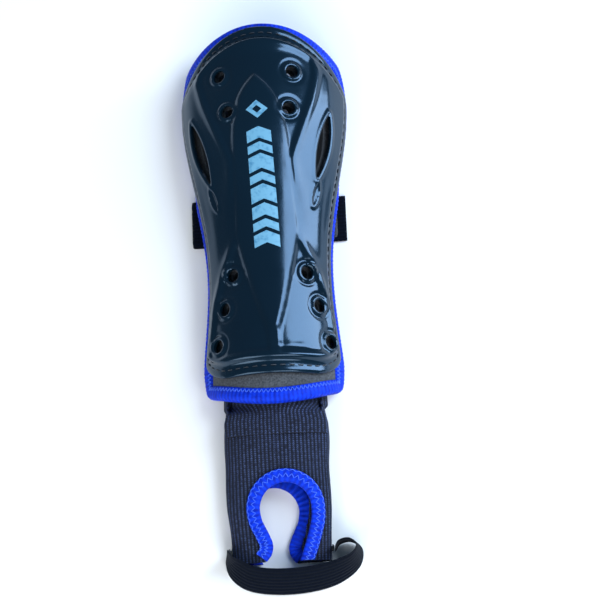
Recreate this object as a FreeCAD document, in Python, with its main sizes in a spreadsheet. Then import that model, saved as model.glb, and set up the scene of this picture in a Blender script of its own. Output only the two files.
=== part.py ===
"""Shin guard with an ankle sleeve, in millimetres.

The guard lies with its leg side down: +X across it, +Y from the ankle towards the knee, +Z up.
The origin is the middle of the whole object's footprint, on the surface that it lies on.
"""

import FreeCAD, Part
import math
import os

import Sketcher

doc = FreeCAD.newDocument("shin_guard")
dims = doc.addObject("Spreadsheet::Sheet", "dims")

# The guard is formed round the leg: each cross-section is part of a ring. A station gives the
# place along the guard, the radius of the pad's front face, how high the wing edges stand and
# how far round the leg they reach, as a share of the full angle.
STATION_PARTS = ("y", "radius", "lift", "spread")
STATIONS = {
    "crown": (180.0, 49.0, 1.5, 0.74),
    "calf": (123.0, 53.0, 0.4, 1.0),
    "taper": (67.0, 43.5, 5.6, 1.0),
    "waist": (35.0, 38.5, 6.0, 1.0),
    "ankle": (-15.0, 39.5, 3.0, 1.0),
    "hem": (-70.0, 40.5, 0.3, 0.93),
}

SIZES = {
    # outline of the pad, seen from the front
    "crown_tip": (177.5, "top of the pad"),
    "crown_arc": (53.0, "radius of the pad's top edge"),
    "hem_tip": (-66.5, "lowest point of the pad"),
    "hem_arc": (60.0, "radius of the pad's lower edge"),
    # layers, measured outwards from the pad's front face
    "facing_front": (0.0, "front of the facing cloth"),
    "facing_inside": (-0.8, "back of the facing cloth"),
    "foam_inside": (-5.8, "back of the foam"),
    "lining_inside": (-6.8, "back of the lining"),
    "binding_inside": (-7.8, "inner skin of the binding tape"),
    "binding_outside": (1.0, "outer skin of the binding tape"),
    "shell_inside": (1.1, "back of the shell's flange"),
    "flange_outside": (3.1, "front of the shell's flange"),
    "dome_root": (2.1, "where the raised part starts, within the flange"),
    "hollow_root": (0.3, "where the hollow starts, behind the flange"),
    "dome_inside": (4.4, "hollow behind the raised part of the shell"),
    "dome_outside": (6.6, "front of the raised part of the shell"),
    "thread_outside": (3.5, "front of the thread on the flange"),
    "patch_inside": (-8.3, "front of the loop patch on the lining"),
    "flap_outside": (-7.95, "face of the sleeve's flap towards the pad"),
    "flap_inside": (-9.5, "face of the sleeve's flap towards the leg"),
    "leg_clearance": (-10.2, "free radius left for the sleeve inside the pad"),
    "beyond": (30.0, "well outside the guard"),
    # half angles of the ring sections, in degrees from the spine
    "binding_angle": (75.0, "edge of the guard"),
    "pad_angle": (73.4, "edge of the pad's layers"),
    "binding_lap_angle": (65.0, "how far the binding reaches in from the edge"),
    "flange_angle": (70.0, "edge of the shell"),
    "dome_angle": (60.0, "edge of the raised part"),
    "hollow_angle": (58.0, "edge of the hollow behind it"),
    "thread_angle": (67.0, "edge of the layer that holds the shell's thread"),
    "patch_angle": (62.0, "lower edge of the loop patch"),
    "flap_angle": (42.0, "side edges of the sleeve's flap"),
    "clear_angle": (80.0, "edge of the space kept free of the sleeve"),
    # insets of the outlines
    "clearance_grow": (-1.2, "space kept free below the pad's lower edge"),
    "pad_inset": (1.2, "binding outside the pad's edge"),
    "binding_lap": (8.7, "width of the binding"),
    "flange_inset": (3.4, "shell's edge inside the guard's top edge"),
    "dome_inset": (12.4, "raised part inside the guard's top edge"),
    "hollow_inset": (14.6, "hollow inside the guard's top edge"),
    "shell_foot": (-49.0, "lower edge of the shell"),
    "shell_foot_corner": (16.0, "radius of the shell's lower corners"),
    "shell_half_width": (44.0, "side lines of the shell's foot outline"),
    "dome_foot": (-39.0, "lower edge of the raised part"),
    "hollow_foot": (-36.8, "lower edge of the hollow"),
    # vents and slots through shell and pad
    "vent_radius": (4.1, "radius of a round vent"),
    "vent_start": (26.0, "where a vent's cutter starts, from the hub line"),
    "slot_top": (117.0, "upper end of a side slot"),
    "slot_foot": (72.0, "lower end of a side slot"),
    "hub_z": (-8.0, "height of the line that vents and slots point away from"),
    "slot_angle": (44.0, "way through a side slot, in degrees from the spine"),
    "slot_start": (34.0, "where a slot's cutter starts, from that line"),
    "slot_top_drop": (5.0, "how far a slot's upper end stands off that direction"),
    "slot_foot_drop": (-6.0, "how far its lower end does"),
    "slot_bulge": (4.6, "half width of a side slot"),
    "spine_lean": (4.5, "how far the features turn aside at top and bottom, in degrees"),
    # calf strap
    "strap_y": (58.0, "middle of the strap"),
    "strap_width": (30.0, "strap width"),
    "strap_thick": (1.3, "strap thickness"),
    "strap_end_x": (49.0, "free end of the strap"),
    "strap_turn_x": (-46.0, "middle of the strap's turn"),
    "strap_turn_radius": (2.25, "outer radius of the strap's turn"),
    "anchor_start_x": (-43.2, "start of the sewn end, beside the turn"),
    "anchor_corner_x": (-33.2, "where the sewn end turns up the wing"),
    "anchor_layer_inside": (-9.3, "face of the sewn end towards the leg"),
    "anchor_layer_outside": (-7.95, "face of the sewn end towards the pad"),
    "anchor_angle": (78.5, "where the sewn end leaves the wing"),
    "anchor_top": (20.0, "top of the sewn end on the wing"),
    "tack_inside": (-9.7, "face of the anchor's thread"),
    "hook_x": (19.0, "near edge of the hook patch"),
    "hook_length": (24.0, "length of the hook patch"),
    "hook_width": (26.0, "width of the hook patch"),
    "hook_thick": (1.4, "thickness of the hook patch"),
    "loop_foot": (12.5, "lower edge of the loop patch"),
    "loop_top": (26.5, "upper edge of the loop patch"),
    # rows of stitches
    "stitch_pitch": (6.2, "pitch of the shell's stitches"),
    "stitch_length": (4.2, "length of a stitch"),
    "stitch_width": (0.7, "width of a stitch at the crown and foot"),
    "side_stitch_width": (0.35, "width of a side stitch, seen from above"),
    "stitch_inset": (4.4, "row of stitches from the shell's edge"),
    "crown_row_angle": (60.0, "reach of the crown's row to each side"),
    "side_row_foot": (18.0, "start of a side row above the shell's foot"),
    "side_row_turn": (2.0, "side row inside the edge of its layer, in degrees"),
    "foot_row_half": (26.0, "half length of the foot's row"),
    "tack_row_outer": (-31.2, "outer row of thread on the strap's sewn end"),
    "tack_row_inner": (-27.6, "inner row of thread on the strap's sewn end"),
    "tack_row_margin": (3.0, "rows' ends from the strap's edges"),
    "tack_length": (3.6, "length of a stitch in these rows"),
    "tack_width": (0.5, "width of a stitch in these rows"),
    # ankle sleeve: a flattened tube, wider at the ankle than at its rim
    "flap_top": (-31.5, "seam of the sleeve's flap on the lining"),
    "flap_foot": (-68.0, "end of the flap, just outside the pad"),
    "sleeve_wall": (1.8, "thickness of the knit"),
    "sleeve_base": (1.0, "height of the rear panel above the floor"),
    "rim_y": (-38.0, "rear rim of the sleeve"),
    "rim_half": (24.0, "half width at the rear rim"),
    "rim_tall": (23.0, "height at the rear rim"),
    "seam_y": (-75.0, "below the pad's edge"),
    "seam_half": (33.0, "half width there"),
    "seam_tall": (23.0, "height there"),
    "tip_y": (-158.5, "lower tips of the sleeve"),
    "tip_half": (31.0, "half width at the tips"),
    "tip_tall": (11.0, "height at the tips"),
    "front_start": (-71.0, "upper end of the front panel"),
    "mouth_top": (20.0, "height at which the mouth's slope meets the front panel"),
    "mouth_back": (4.0, "foot of the mouth's slope below the rear rim"),
    "mouth_rise": (0.6, "mouth's lower edge above the rear panel"),
    "hem_half": (12.0, "half length of the rear hem"),
    "hem_width": (6.0, "width of the rear hem"),
    "hem_thick": (1.2, "thickness of the rear hem"),
    "arch_radius": (15.5, "radius of an ankle opening"),
    "arch_top": (-112.0, "top of an ankle opening"),
    "arch_tip_half": (11.0, "half width of an opening at the tips"),
    "arch_shift": (4.0, "how far an opening stands off the middle"),
    "arch_binding_width": (8.0, "width of an opening's binding"),
    "arch_binding_lip": (1.0, "binding outside the knit's edge, and its skin"),
    # pads in the sides of the sleeve
    "ankle_pad_y": (-94.0, "middle of an ankle pad"),
    "ankle_pad_z": (10.5, "height of an ankle pad's middle"),
    "ankle_pad_x": (20.0, "inner face of an ankle pad from the middle"),
    "ankle_pad_thick": (4.0, "thickness of an ankle pad"),
    "ankle_pad_half": (15.5, "half length of an ankle pad"),
    "ankle_pad_tall": (13.0, "height of an ankle pad"),
    # stirrup
    "stirrup_width": (20.0, "width of the stirrup strap"),
    "stirrup_thick": (1.2, "thickness of the stirrup strap"),
    "tack_near": (26.2, "inner end of a bar tack from the middle"),
    "tack_y": (-153.0, "lower edge of a bar tack"),
    "tack_wide": (4.0, "width of a bar tack along the sleeve"),
    "tack_foot": (3.5, "foot of a bar tack above the floor"),
    "tack_tall": (6.0, "height of a bar tack"),
    "tack_grow": (0.7, "thickness of a bar tack on the knit"),
    "tack_past": (0.2, "extra for the sleeve's widening above its tips"),
    # reach of cutting tools
    "trim_half": (90.0, "half width of an outline that trims the guard"),
    "trim_past": (30.0, "reach of such an outline past the guard's tip"),
    "tool_top": (60.0, "top of the sleeve's cutting tools, and their half width"),
    "tool_foot": (-10.0, "foot of the sleeve's cutting tools"),
}

VENTS = (
    # angle from the spine in degrees, place along the guard
    (25.0, 142.0),
    (20.5, 117.0),
    (28.5, 13.5),
    (38.0, -6.5),
    (46.0, -28.5),
)


def fill_sheet():
    """One row per driving dimension: its name, its value and what it measures."""
    rows = []
    for station, values in STATIONS.items():
        for part, value in zip(STATION_PARTS, values):
            rows.append((f"{station}_{part}", value, f"station {station}, {part}"))
    rows += [(name, value, meaning) for name, (value, meaning) in SIZES.items()]
    for number, (angle, along) in enumerate(VENTS):
        rows.append((f"vent_angle_{number}", angle, "vent, from the spine"))
        rows.append((f"vent_y_{number}", along, "vent, along the guard"))
    for line, (name, value, meaning) in enumerate(rows, start=1):
        dims.set(f"A{line}", name)
        dims.set(f"B{line}", str(value))
        dims.set(f"C{line}", meaning)
        dims.setAlias(f"B{line}", name)
    doc.recompute()


def size(name):
    """A driving dimension, read back from the sheet."""
    return float(dims.get(name))


def plane_of(body, role):
    """One of a body's own origin planes."""
    return next(f for f in body.Origin.OriginFeatures if f.Role == role)


def new_sketch(body, name, role, along=None):
    """A sketch on one of the body's origin planes, moved along that plane's normal."""
    sketch = body.newObject("Sketcher::SketchObject", name)
    sketch.AttachmentSupport = (plane_of(body, role), [""])
    sketch.MapMode = "FlatFace"
    if along is not None:
        sketch.setExpression("AttachmentOffset.Base.z", along)
    return sketch


def bind(sketch, constraint, expression):
    """Adds a constraint and ties its value to the sheet."""
    index = sketch.addConstraint(constraint)
    sketch.setExpression(f"Constraints[{index}]", expression)


def centre_height(station):
    """Height of a ring section's centre, as an expression."""
    return (
        f"dims.{station}_lift - (dims.{station}_radius + dims.binding_inside)"
        " * cos(dims.binding_angle * 1 deg)"
    )


def centre_height_now(station):
    """The same height as a number, to start a sketch from."""
    inner = size(f"{station}_radius") + size("binding_inside")
    return size(f"{station}_lift") - inner * math.cos(math.radians(size("binding_angle")))


def ring_section(body, station, inside, outside, angle):
    """Part of a ring across the guard, symmetric about its spine."""
    sketch = new_sketch(body, f"{body.Name}_{station}", "XZ_Plane", f"-dims.{station}_y")
    centre = FreeCAD.Vector(0, centre_height_now(station), 0)
    half = math.radians(size(angle) * size(f"{station}_spread"))
    limits = (math.pi / 2 - half, math.pi / 2 + half)
    arcs = []
    for offset in (outside, inside):
        circle = Part.Circle(centre, FreeCAD.Vector(0, 0, 1), size(f"{station}_radius") + size(offset))
        arcs.append(Part.ArcOfCircle(circle, *limits))
    outer = sketch.addGeometry(arcs[0])
    inner = sketch.addGeometry(arcs[1])
    right = sketch.addGeometry(Part.LineSegment(arcs[0].StartPoint, arcs[1].StartPoint))
    left = sketch.addGeometry(Part.LineSegment(arcs[1].EndPoint, arcs[0].EndPoint))
    for first, second in (
        ((outer, 1), (right, 1)),
        ((right, 2), (inner, 1)),
        ((inner, 2), (left, 1)),
        ((left, 2), (outer, 2)),
        ((outer, 3), (inner, 3)),
    ):
        sketch.addConstraint(Sketcher.Constraint("Coincident", *first, *second))
    sketch.addConstraint(Sketcher.Constraint("PointOnObject", outer, 3, -2))
    sketch.addConstraint(Sketcher.Constraint("PointOnObject", outer, 3, right))
    sketch.addConstraint(Sketcher.Constraint("PointOnObject", outer, 3, left))
    bind(
        sketch,
        Sketcher.Constraint("DistanceY", -1, 1, outer, 3, centre.y),
        centre_height(station),
    )
    radius = f"(dims.{station}_radius + dims.{outside})"
    bind(sketch, Sketcher.Constraint("Radius", outer, arcs[0].Radius), radius)
    bind(
        sketch,
        Sketcher.Constraint("Radius", inner, arcs[1].Radius),
        f"dims.{station}_radius + dims.{inside}",
    )
    reach = arcs[0].Radius * math.sin(half)
    reach_words = f"{radius} * sin(dims.{angle} * dims.{station}_spread * 1 deg)"
    bind(sketch, Sketcher.Constraint("DistanceX", -1, 1, outer, 1, reach), reach_words)
    bind(sketch, Sketcher.Constraint("DistanceX", outer, 2, -1, 1, reach), reach_words)
    return sketch


def formed_layer(name, inside, outside, angle):
    """A layer of even thickness over the whole length of the guard, not yet trimmed."""
    body = doc.addObject("PartDesign::Body", name)
    sections = [ring_section(body, station, inside, outside, angle) for station in STATIONS]
    loft = body.newObject("PartDesign::AdditiveLoft", f"{name}_form")
    loft.Profile = sections[0]
    loft.Sections = sections[1:]
    loft.Ruled = False
    body.Tip = loft
    doc.recompute()
    return body


def cut_down(body, sketch, name):
    """Cuts straight down through the body, and makes sure that something was cut away."""
    before = body.Shape.Volume
    pocket = body.newObject("PartDesign::Pocket", name)
    pocket.Profile = sketch
    pocket.Type = "ThroughAll"
    body.Tip = pocket
    doc.recompute()
    if not body.Shape.Volume < before - 1:
        raise RuntimeError(f"{name} cut nothing away")


def close_chain(sketch, points, arc_index, arc):
    """A closed outline of straight edges through points, with one arc between two of them."""
    count = len(points)
    edges = []
    for index in range(count):
        start = points[index]
        end = points[(index + 1) % count]
        edge = arc if index == arc_index else Part.LineSegment(start, end)
        edges.append(sketch.addGeometry(edge))
    for index in range(count):
        following = (index + 1) % count
        end_vertex = 1 if index == arc_index else 2
        start_vertex = 2 if following == arc_index else 1
        sketch.addConstraint(
            Sketcher.Constraint("Coincident", edges[index], end_vertex, edges[following], start_vertex)
        )
    return edges


def trim_end(body, tip, arc_radius, inset, sign):
    """Rounds one end of a layer, inset from the guard's: sign is +1 at the crown, -1 at the hem."""
    end = "crown" if sign > 0 else "hem"
    sketch = new_sketch(body, f"{body.Name}_{end}_trim", "XY_Plane", "dims.beyond * 3")
    inset_now = size(inset) if inset else 0.0
    inset_words = f" + dims.{inset}" if inset else ""
    radius = size(arc_radius)
    middle = FreeCAD.Vector(0, size(tip) - sign * (inset_now + radius), 0)
    # the arc stops short of a half circle so that its ends stay well defined
    spread = math.radians(88 if sign > 0 else 70)
    circle = Part.Circle(middle, FreeCAD.Vector(0, 0, 1), radius)
    up = math.pi / 2 * sign
    arc = Part.ArcOfCircle(circle, up - spread, up + spread)
    first = arc.EndPoint
    second = arc.StartPoint
    side = math.copysign(size("trim_half"), second.x)
    far = size(tip) + sign * size("trim_past")
    points = [
        first,
        second,
        FreeCAD.Vector(side, second.y, 0),
        FreeCAD.Vector(side, far, 0),
        FreeCAD.Vector(-side, far, 0),
        FreeCAD.Vector(-side, first.y, 0),
    ]
    edges = close_chain(sketch, points, 0, arc)
    bind(sketch, Sketcher.Constraint("Radius", edges[0], radius), f"dims.{arc_radius}")
    sketch.addConstraint(Sketcher.Constraint("PointOnObject", edges[0], 3, -2))
    bind(
        sketch,
        Sketcher.Constraint("DistanceY", -1, 1, edges[0], 3, middle.y),
        f"dims.{tip} - {sign} * (dims.{arc_radius}{inset_words})",
    )
    cut_down(body, sketch, f"{body.Name}_{end}_cut")


def trimmed_layer(name, inside, outside, angle, inset):
    """A layer with the pad's outline, smaller by inset."""
    body = formed_layer(name, inside, outside, angle)
    trim_end(body, "crown_tip", "crown_arc", inset, 1)
    trim_end(body, "hem_tip", "hem_arc", inset, -1)
    return body


def part_object(kind, name, **links):
    """A Part boolean with its links set; its faces stay as cut, without merging."""
    made = doc.addObject(f"Part::{kind}", name)
    made.Refine = False
    for key, value in links.items():
        setattr(made, key, value)
    return made


def box(name, corner, lengths):
    """A box whose corner and lengths are expressions."""
    made = doc.addObject("Part::Box", name)
    for axis, words in zip("xyz", corner):
        made.setExpression(f"Placement.Base.{axis}", words)
    for side, words in zip(("Length", "Width", "Height"), lengths):
        made.setExpression(side, words)
    return made


def cut(name, base, tool):
    return part_object("Cut", name, Base=base, Tool=tool)


def common(name, base, tool):
    return part_object("Common", name, Base=base, Tool=tool)


def fuse(name, *pieces):
    return part_object("MultiFuse", name, Shapes=list(pieces))


def lean_at(along):
    """How far round the spine's features are turned at a place along the guard, in degrees."""
    middle = (size("crown_tip") + size("hem_tip")) / 2
    half = (size("crown_tip") - size("hem_tip")) / 2
    return -size("spine_lean") * (along - middle) / half


def lean_words(along):
    """The same as an expression in the sheet's names."""
    middle = "(dims.crown_tip + dims.hem_tip) / 2"
    half = "(dims.crown_tip - dims.hem_tip) / 2"
    return f"(-dims.spine_lean * ({along} - {middle}) / ({half}))"


def make_openings():
    """Everything that is cut through the shell and the pad: round vents and side slots."""
    tools = []
    for number in range(len(VENTS)):
        for sign, side in ((1, "right"), (-1, "left")):
            vent = doc.addObject("Part::Cylinder", f"vent_{side}_{number}")
            along = f"dims.vent_y_{number}"
            vent.Placement.Rotation = FreeCAD.Rotation(FreeCAD.Vector(0, sign, 0), 1)
            turn = f"(dims.vent_angle_{number} + {sign} * {lean_words(along)})"
            vent.setExpression("Placement.Rotation.Angle", turn)
            start_x = f"{sign} * dims.vent_start * sin({turn} * 1 deg)"
            start_z = f"dims.hub_z + dims.vent_start * cos({turn} * 1 deg)"
            vent.setExpression("Placement.Base.x", start_x)
            vent.setExpression("Placement.Base.y", along)
            vent.setExpression("Placement.Base.z", start_z)
            vent.setExpression("Radius", "dims.vent_radius")
            vent.setExpression("Height", "dims.beyond * 3")
            tools.append(vent)
    start = FreeCAD.Vector(0, 0, size("hub_z"))
    for sign, side in ((1, "right"), (-1, "left")):
        angle = math.radians(size("slot_angle"))
        outward = FreeCAD.Vector(sign * math.sin(angle), 0, math.cos(angle))
        down = FreeCAD.Vector(sign * math.cos(angle), 0, -math.sin(angle))
        ends = []
        for end in ("top", "foot"):
            along = size(f"slot_{end}")
            lean = math.radians(lean_at(along)) * size("calf_radius") * sign
            ends.append(
                start
                + outward * size("slot_start")
                + down * (size(f"slot_{end}_drop") + lean)
                + FreeCAD.Vector(0, along, 0)
            )
        top, foot = ends
        across = (top - foot).cross(outward).normalize() * size("slot_bulge")
        middle = (top + foot) * 0.5
        edges = [
            Part.Arc(foot, middle + across, top).toShape(),
            Part.Arc(top, middle - across, foot).toShape(),
        ]
        slot = doc.addObject("Part::Feature", f"slot_{side}")
        lens = Part.Face(Part.Wire(edges))
        slot.Shape = lens.extrude(outward * size("beyond") * 1.5)
        tools.append(slot)
    return fuse("openings", *tools)


def shell_foot_trim(body, foot, inset):
    """Cuts the lower end of a shell layer straight, with rounded corners."""
    sketch = new_sketch(body, f"{body.Name}_foot_trim", "XY_Plane", "dims.beyond * 3")
    foot_now = size(foot)
    inset_now = size(inset)
    corner = size("shell_foot_corner")
    side = size("shell_half_width") - inset_now
    far = size("trim_half")
    outside = foot_now - far
    outline = []
    points = [
        FreeCAD.Vector(-far, foot_now + corner, 0),
        FreeCAD.Vector(-far, outside, 0),
        FreeCAD.Vector(far, outside, 0),
        FreeCAD.Vector(far, foot_now + corner, 0),
        FreeCAD.Vector(side, foot_now + corner, 0),
    ]
    for start, end in zip(points, points[1:]):
        outline.append(Part.LineSegment(start, end))
    axis = FreeCAD.Vector(0, 0, 1)
    right_circle = Part.Circle(FreeCAD.Vector(side - corner, foot_now + corner, 0), axis, corner)
    left_circle = Part.Circle(FreeCAD.Vector(corner - side, foot_now + corner, 0), axis, corner)
    right_arc = Part.ArcOfCircle(right_circle, -math.pi / 2, 0)
    left_arc = Part.ArcOfCircle(left_circle, -math.pi, -math.pi / 2)
    outline.append(right_arc)
    outline.append(Part.LineSegment(right_arc.StartPoint, left_arc.EndPoint))
    outline.append(left_arc)
    outline.append(Part.LineSegment(left_arc.StartPoint, points[0]))
    ids = [sketch.addGeometry(edge) for edge in outline]
    right_id, line_id, left_id = ids[4], ids[5], ids[6]
    joints = [(ids[i], 2, ids[i + 1], 1) for i in range(3)]
    joints += [(ids[3], 2, right_id, 2), (left_id, 1, ids[7], 1), (ids[7], 2, ids[0], 1)]
    for joint in joints:
        sketch.addConstraint(Sketcher.Constraint("Coincident", *joint))
    sketch.addConstraint(Sketcher.Constraint("Horizontal", line_id))
    sketch.addConstraint(Sketcher.Constraint("Tangent", right_id, 1, line_id, 1))
    sketch.addConstraint(Sketcher.Constraint("Tangent", line_id, 2, left_id, 2))
    bind(sketch, Sketcher.Constraint("Radius", right_id, corner), "dims.shell_foot_corner")
    bind(sketch, Sketcher.Constraint("Radius", left_id, corner), "dims.shell_foot_corner")
    bind(sketch, Sketcher.Constraint("DistanceY", -1, 1, line_id, 1, foot_now), f"dims.{foot}")
    reach = f"dims.shell_half_width - dims.{inset} - dims.shell_foot_corner"
    bind(sketch, Sketcher.Constraint("DistanceX", -1, 1, right_id, 3, side - corner), reach)
    bind(sketch, Sketcher.Constraint("DistanceX", left_id, 3, -1, 1, side - corner), reach)
    cut_down(body, sketch, f"{body.Name}_foot_cut")


def shell_layer(name, inside, outside, angle, inset, foot):
    """One formed layer of the shell, with its rounded crown and its straight foot."""
    body = formed_layer(name, inside, outside, angle)
    trim_end(body, "crown_tip", "crown_arc", inset, 1)
    shell_foot_trim(body, foot, inset)
    return body


def make_shell(openings):
    """The moulded shell: a flat flange all round and a raised, hollow middle."""
    flange = shell_layer(
        "shell_flange", "shell_inside", "flange_outside", "flange_angle", "flange_inset", "shell_foot"
    )
    dome = shell_layer(
        "shell_dome", "dome_root", "dome_outside", "dome_angle", "dome_inset", "dome_foot"
    )
    hollow = shell_layer(
        "shell_hollow", "hollow_root", "dome_inside", "hollow_angle", "hollow_inset", "hollow_foot"
    )
    solid = fuse("shell_solid", flange, dome)
    return cut("shell", cut("shell_hollowed", solid, hollow), openings)


def make_pad(openings):
    """Facing cloth, foam and lining, one behind the other."""
    layers = {
        "outer_facing": ("facing_inside", None),
        "foam_pad": ("foam_inside", "facing_inside"),
        "lining": ("lining_inside", "foam_inside"),
    }
    made = []
    for name, (inside, outside) in layers.items():
        front = outside or "facing_front"
        layer = trimmed_layer(f"{name}_layer", inside, front, "pad_angle", "pad_inset")
        made.append(cut(name, layer, openings))
    return made


def make_binding():
    """The tape that wraps the pad's edge, a channel with the pad's layers inside it."""
    tape = trimmed_layer("tape_form", "binding_inside", "binding_outside", "binding_angle", None)
    middle = trimmed_layer(
        "tape_middle", "leg_clearance", "flange_outside", "binding_lap_angle", "binding_lap"
    )
    pad = trimmed_layer("tape_pad", "lining_inside", "facing_front", "pad_angle", "pad_inset")
    return cut("edge_binding", cut("tape_ring", tape, middle), pad)


def dash_tool(name, places):
    """A group of thin upright blocks, one per stitch: place, direction, length and width."""
    tall = size("beyond") * 3
    blocks = []
    for x, y, turn, length, width in places:
        block = Part.makeBox(length, width, tall, FreeCAD.Vector(-length / 2, -width / 2, 0))
        block.rotate(FreeCAD.Vector(0, 0, 0), FreeCAD.Vector(0, 0, 1), math.degrees(turn))
        block.translate(FreeCAD.Vector(x, y, 0))
        blocks.append(block)
    tool = doc.addObject("Part::Feature", name)
    tool.Shape = Part.makeCompound(blocks)
    return tool


def form_at(along, part):
    """Radius or spread of the guard's form at a place between the stations."""
    places = sorted(STATIONS, key=lambda station: size(f"{station}_y"))
    for low, high in zip(places, places[1:]):
        low_y, high_y = size(f"{low}_y"), size(f"{high}_y")
        if low_y <= along <= high_y:
            share = (along - low_y) / (high_y - low_y)
            eased = share * share * (3 - 2 * share)
            return size(f"{low}_{part}") * (1 - eased) + size(f"{high}_{part}") * eased
    raise ValueError(f"{along} is outside the guard")


def make_shell_thread():
    """The row of stitches that holds the shell's flange to the pad."""
    pitch = size("stitch_pitch")
    length = size("stitch_length")
    width = size("stitch_width")
    side_width = size("side_stitch_width")
    from_edge = size("stitch_inset")
    places = []
    radius = size("crown_arc") - from_edge
    middle = size("crown_tip") - size("flange_inset") - size("crown_arc")
    limit = size("crown_row_angle")
    steps = int(math.radians(2 * limit) * radius / pitch)
    for step in range(steps + 1):
        angle = math.radians(90 - limit + 2 * limit * step / steps)
        x = radius * math.cos(angle)
        y = middle + radius * math.sin(angle)
        places.append((x, y, angle + math.pi / 2, length, width))
    side_angle = math.radians(size("thread_angle") - size("side_row_turn"))
    low = size("shell_foot") + size("side_row_foot")
    high = middle + radius * math.sin(math.radians(90 - limit)) - pitch * 2
    count = int((high - low) / pitch)
    for step in range(count + 1):
        y = low + (high - low) * step / count
        angle = side_angle * form_at(y, "spread")
        x = (form_at(y, "radius") + size("flange_outside")) * math.sin(angle)
        slope = (form_at(y + 2, "radius") - form_at(y - 2, "radius")) / 4
        for sign in (1, -1):
            places.append((sign * x, y, math.atan2(1, sign * slope), length, side_width))
    foot_half = size("foot_row_half")
    count = int(2 * foot_half / pitch)
    for step in range(count + 1):
        x = -foot_half + 2 * foot_half * step / count
        places.append((x, size("shell_foot") + from_edge, 0.0, length, width))
    tool = dash_tool("shell_dashes", places)
    layer = formed_layer("thread_layer", "flange_outside", "thread_outside", "thread_angle")
    return common("shell_stitching", layer, tool)


def make_loop_patch():
    """The patch on the lining of the right wing that the strap's hooks hold."""
    layer = formed_layer("patch_layer", "patch_inside", "lining_inside", "patch_angle")
    block = box(
        "patch_block",
        ("10", "dims.strap_y - dims.hook_width / 2", "dims.loop_foot"),
        ("dims.beyond * 2", "dims.hook_width", "dims.loop_top - dims.loop_foot"),
    )
    return common("loop_patch", layer, block)


def make_strap_anchor():
    """The sewn end of the calf strap: up the inside of the left wing, and out under its edge."""
    layer = formed_layer(
        "anchor_layer", "anchor_layer_inside", "anchor_layer_outside", "anchor_angle"
    )
    turn_top = "2 * dims.strap_turn_radius"
    region = box(
        "anchor_region",
        ("-2 * dims.beyond", "dims.strap_y - dims.strap_width / 2", f"{turn_top} - dims.strap_thick"),
        ("dims.beyond * 2 - 10", "dims.strap_width", f"dims.anchor_top - {turn_top} + dims.strap_thick"),
    )
    upright = common("anchor_upright", layer, region)
    leg = box(
        "anchor_leg",
        ("dims.anchor_start_x", "dims.strap_y - dims.strap_width / 2", f"{turn_top} - dims.strap_thick"),
        ("dims.anchor_corner_x + 3 - dims.anchor_start_x", "dims.strap_width", "dims.strap_thick"),
    )
    return fuse("strap_anchor", upright, leg)


def make_anchor_thread():
    """Two rows of thread across the sewn end."""
    places = []
    half = size("strap_width") / 2 - size("tack_row_margin")
    gaps = 5
    for row in ("outer", "inner"):
        x = size(f"tack_row_{row}")
        for step in range(gaps + 1):
            y = size("strap_y") - half + 2 * half * step / gaps
            places.append((x, y, math.pi / 2, size("tack_length"), size("tack_width")))
    tool = dash_tool("anchor_dashes", places)
    layer = formed_layer("tack_layer", "tack_inside", "anchor_layer_inside", "thread_angle")
    return common("anchor_stitching", layer, tool)


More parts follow.
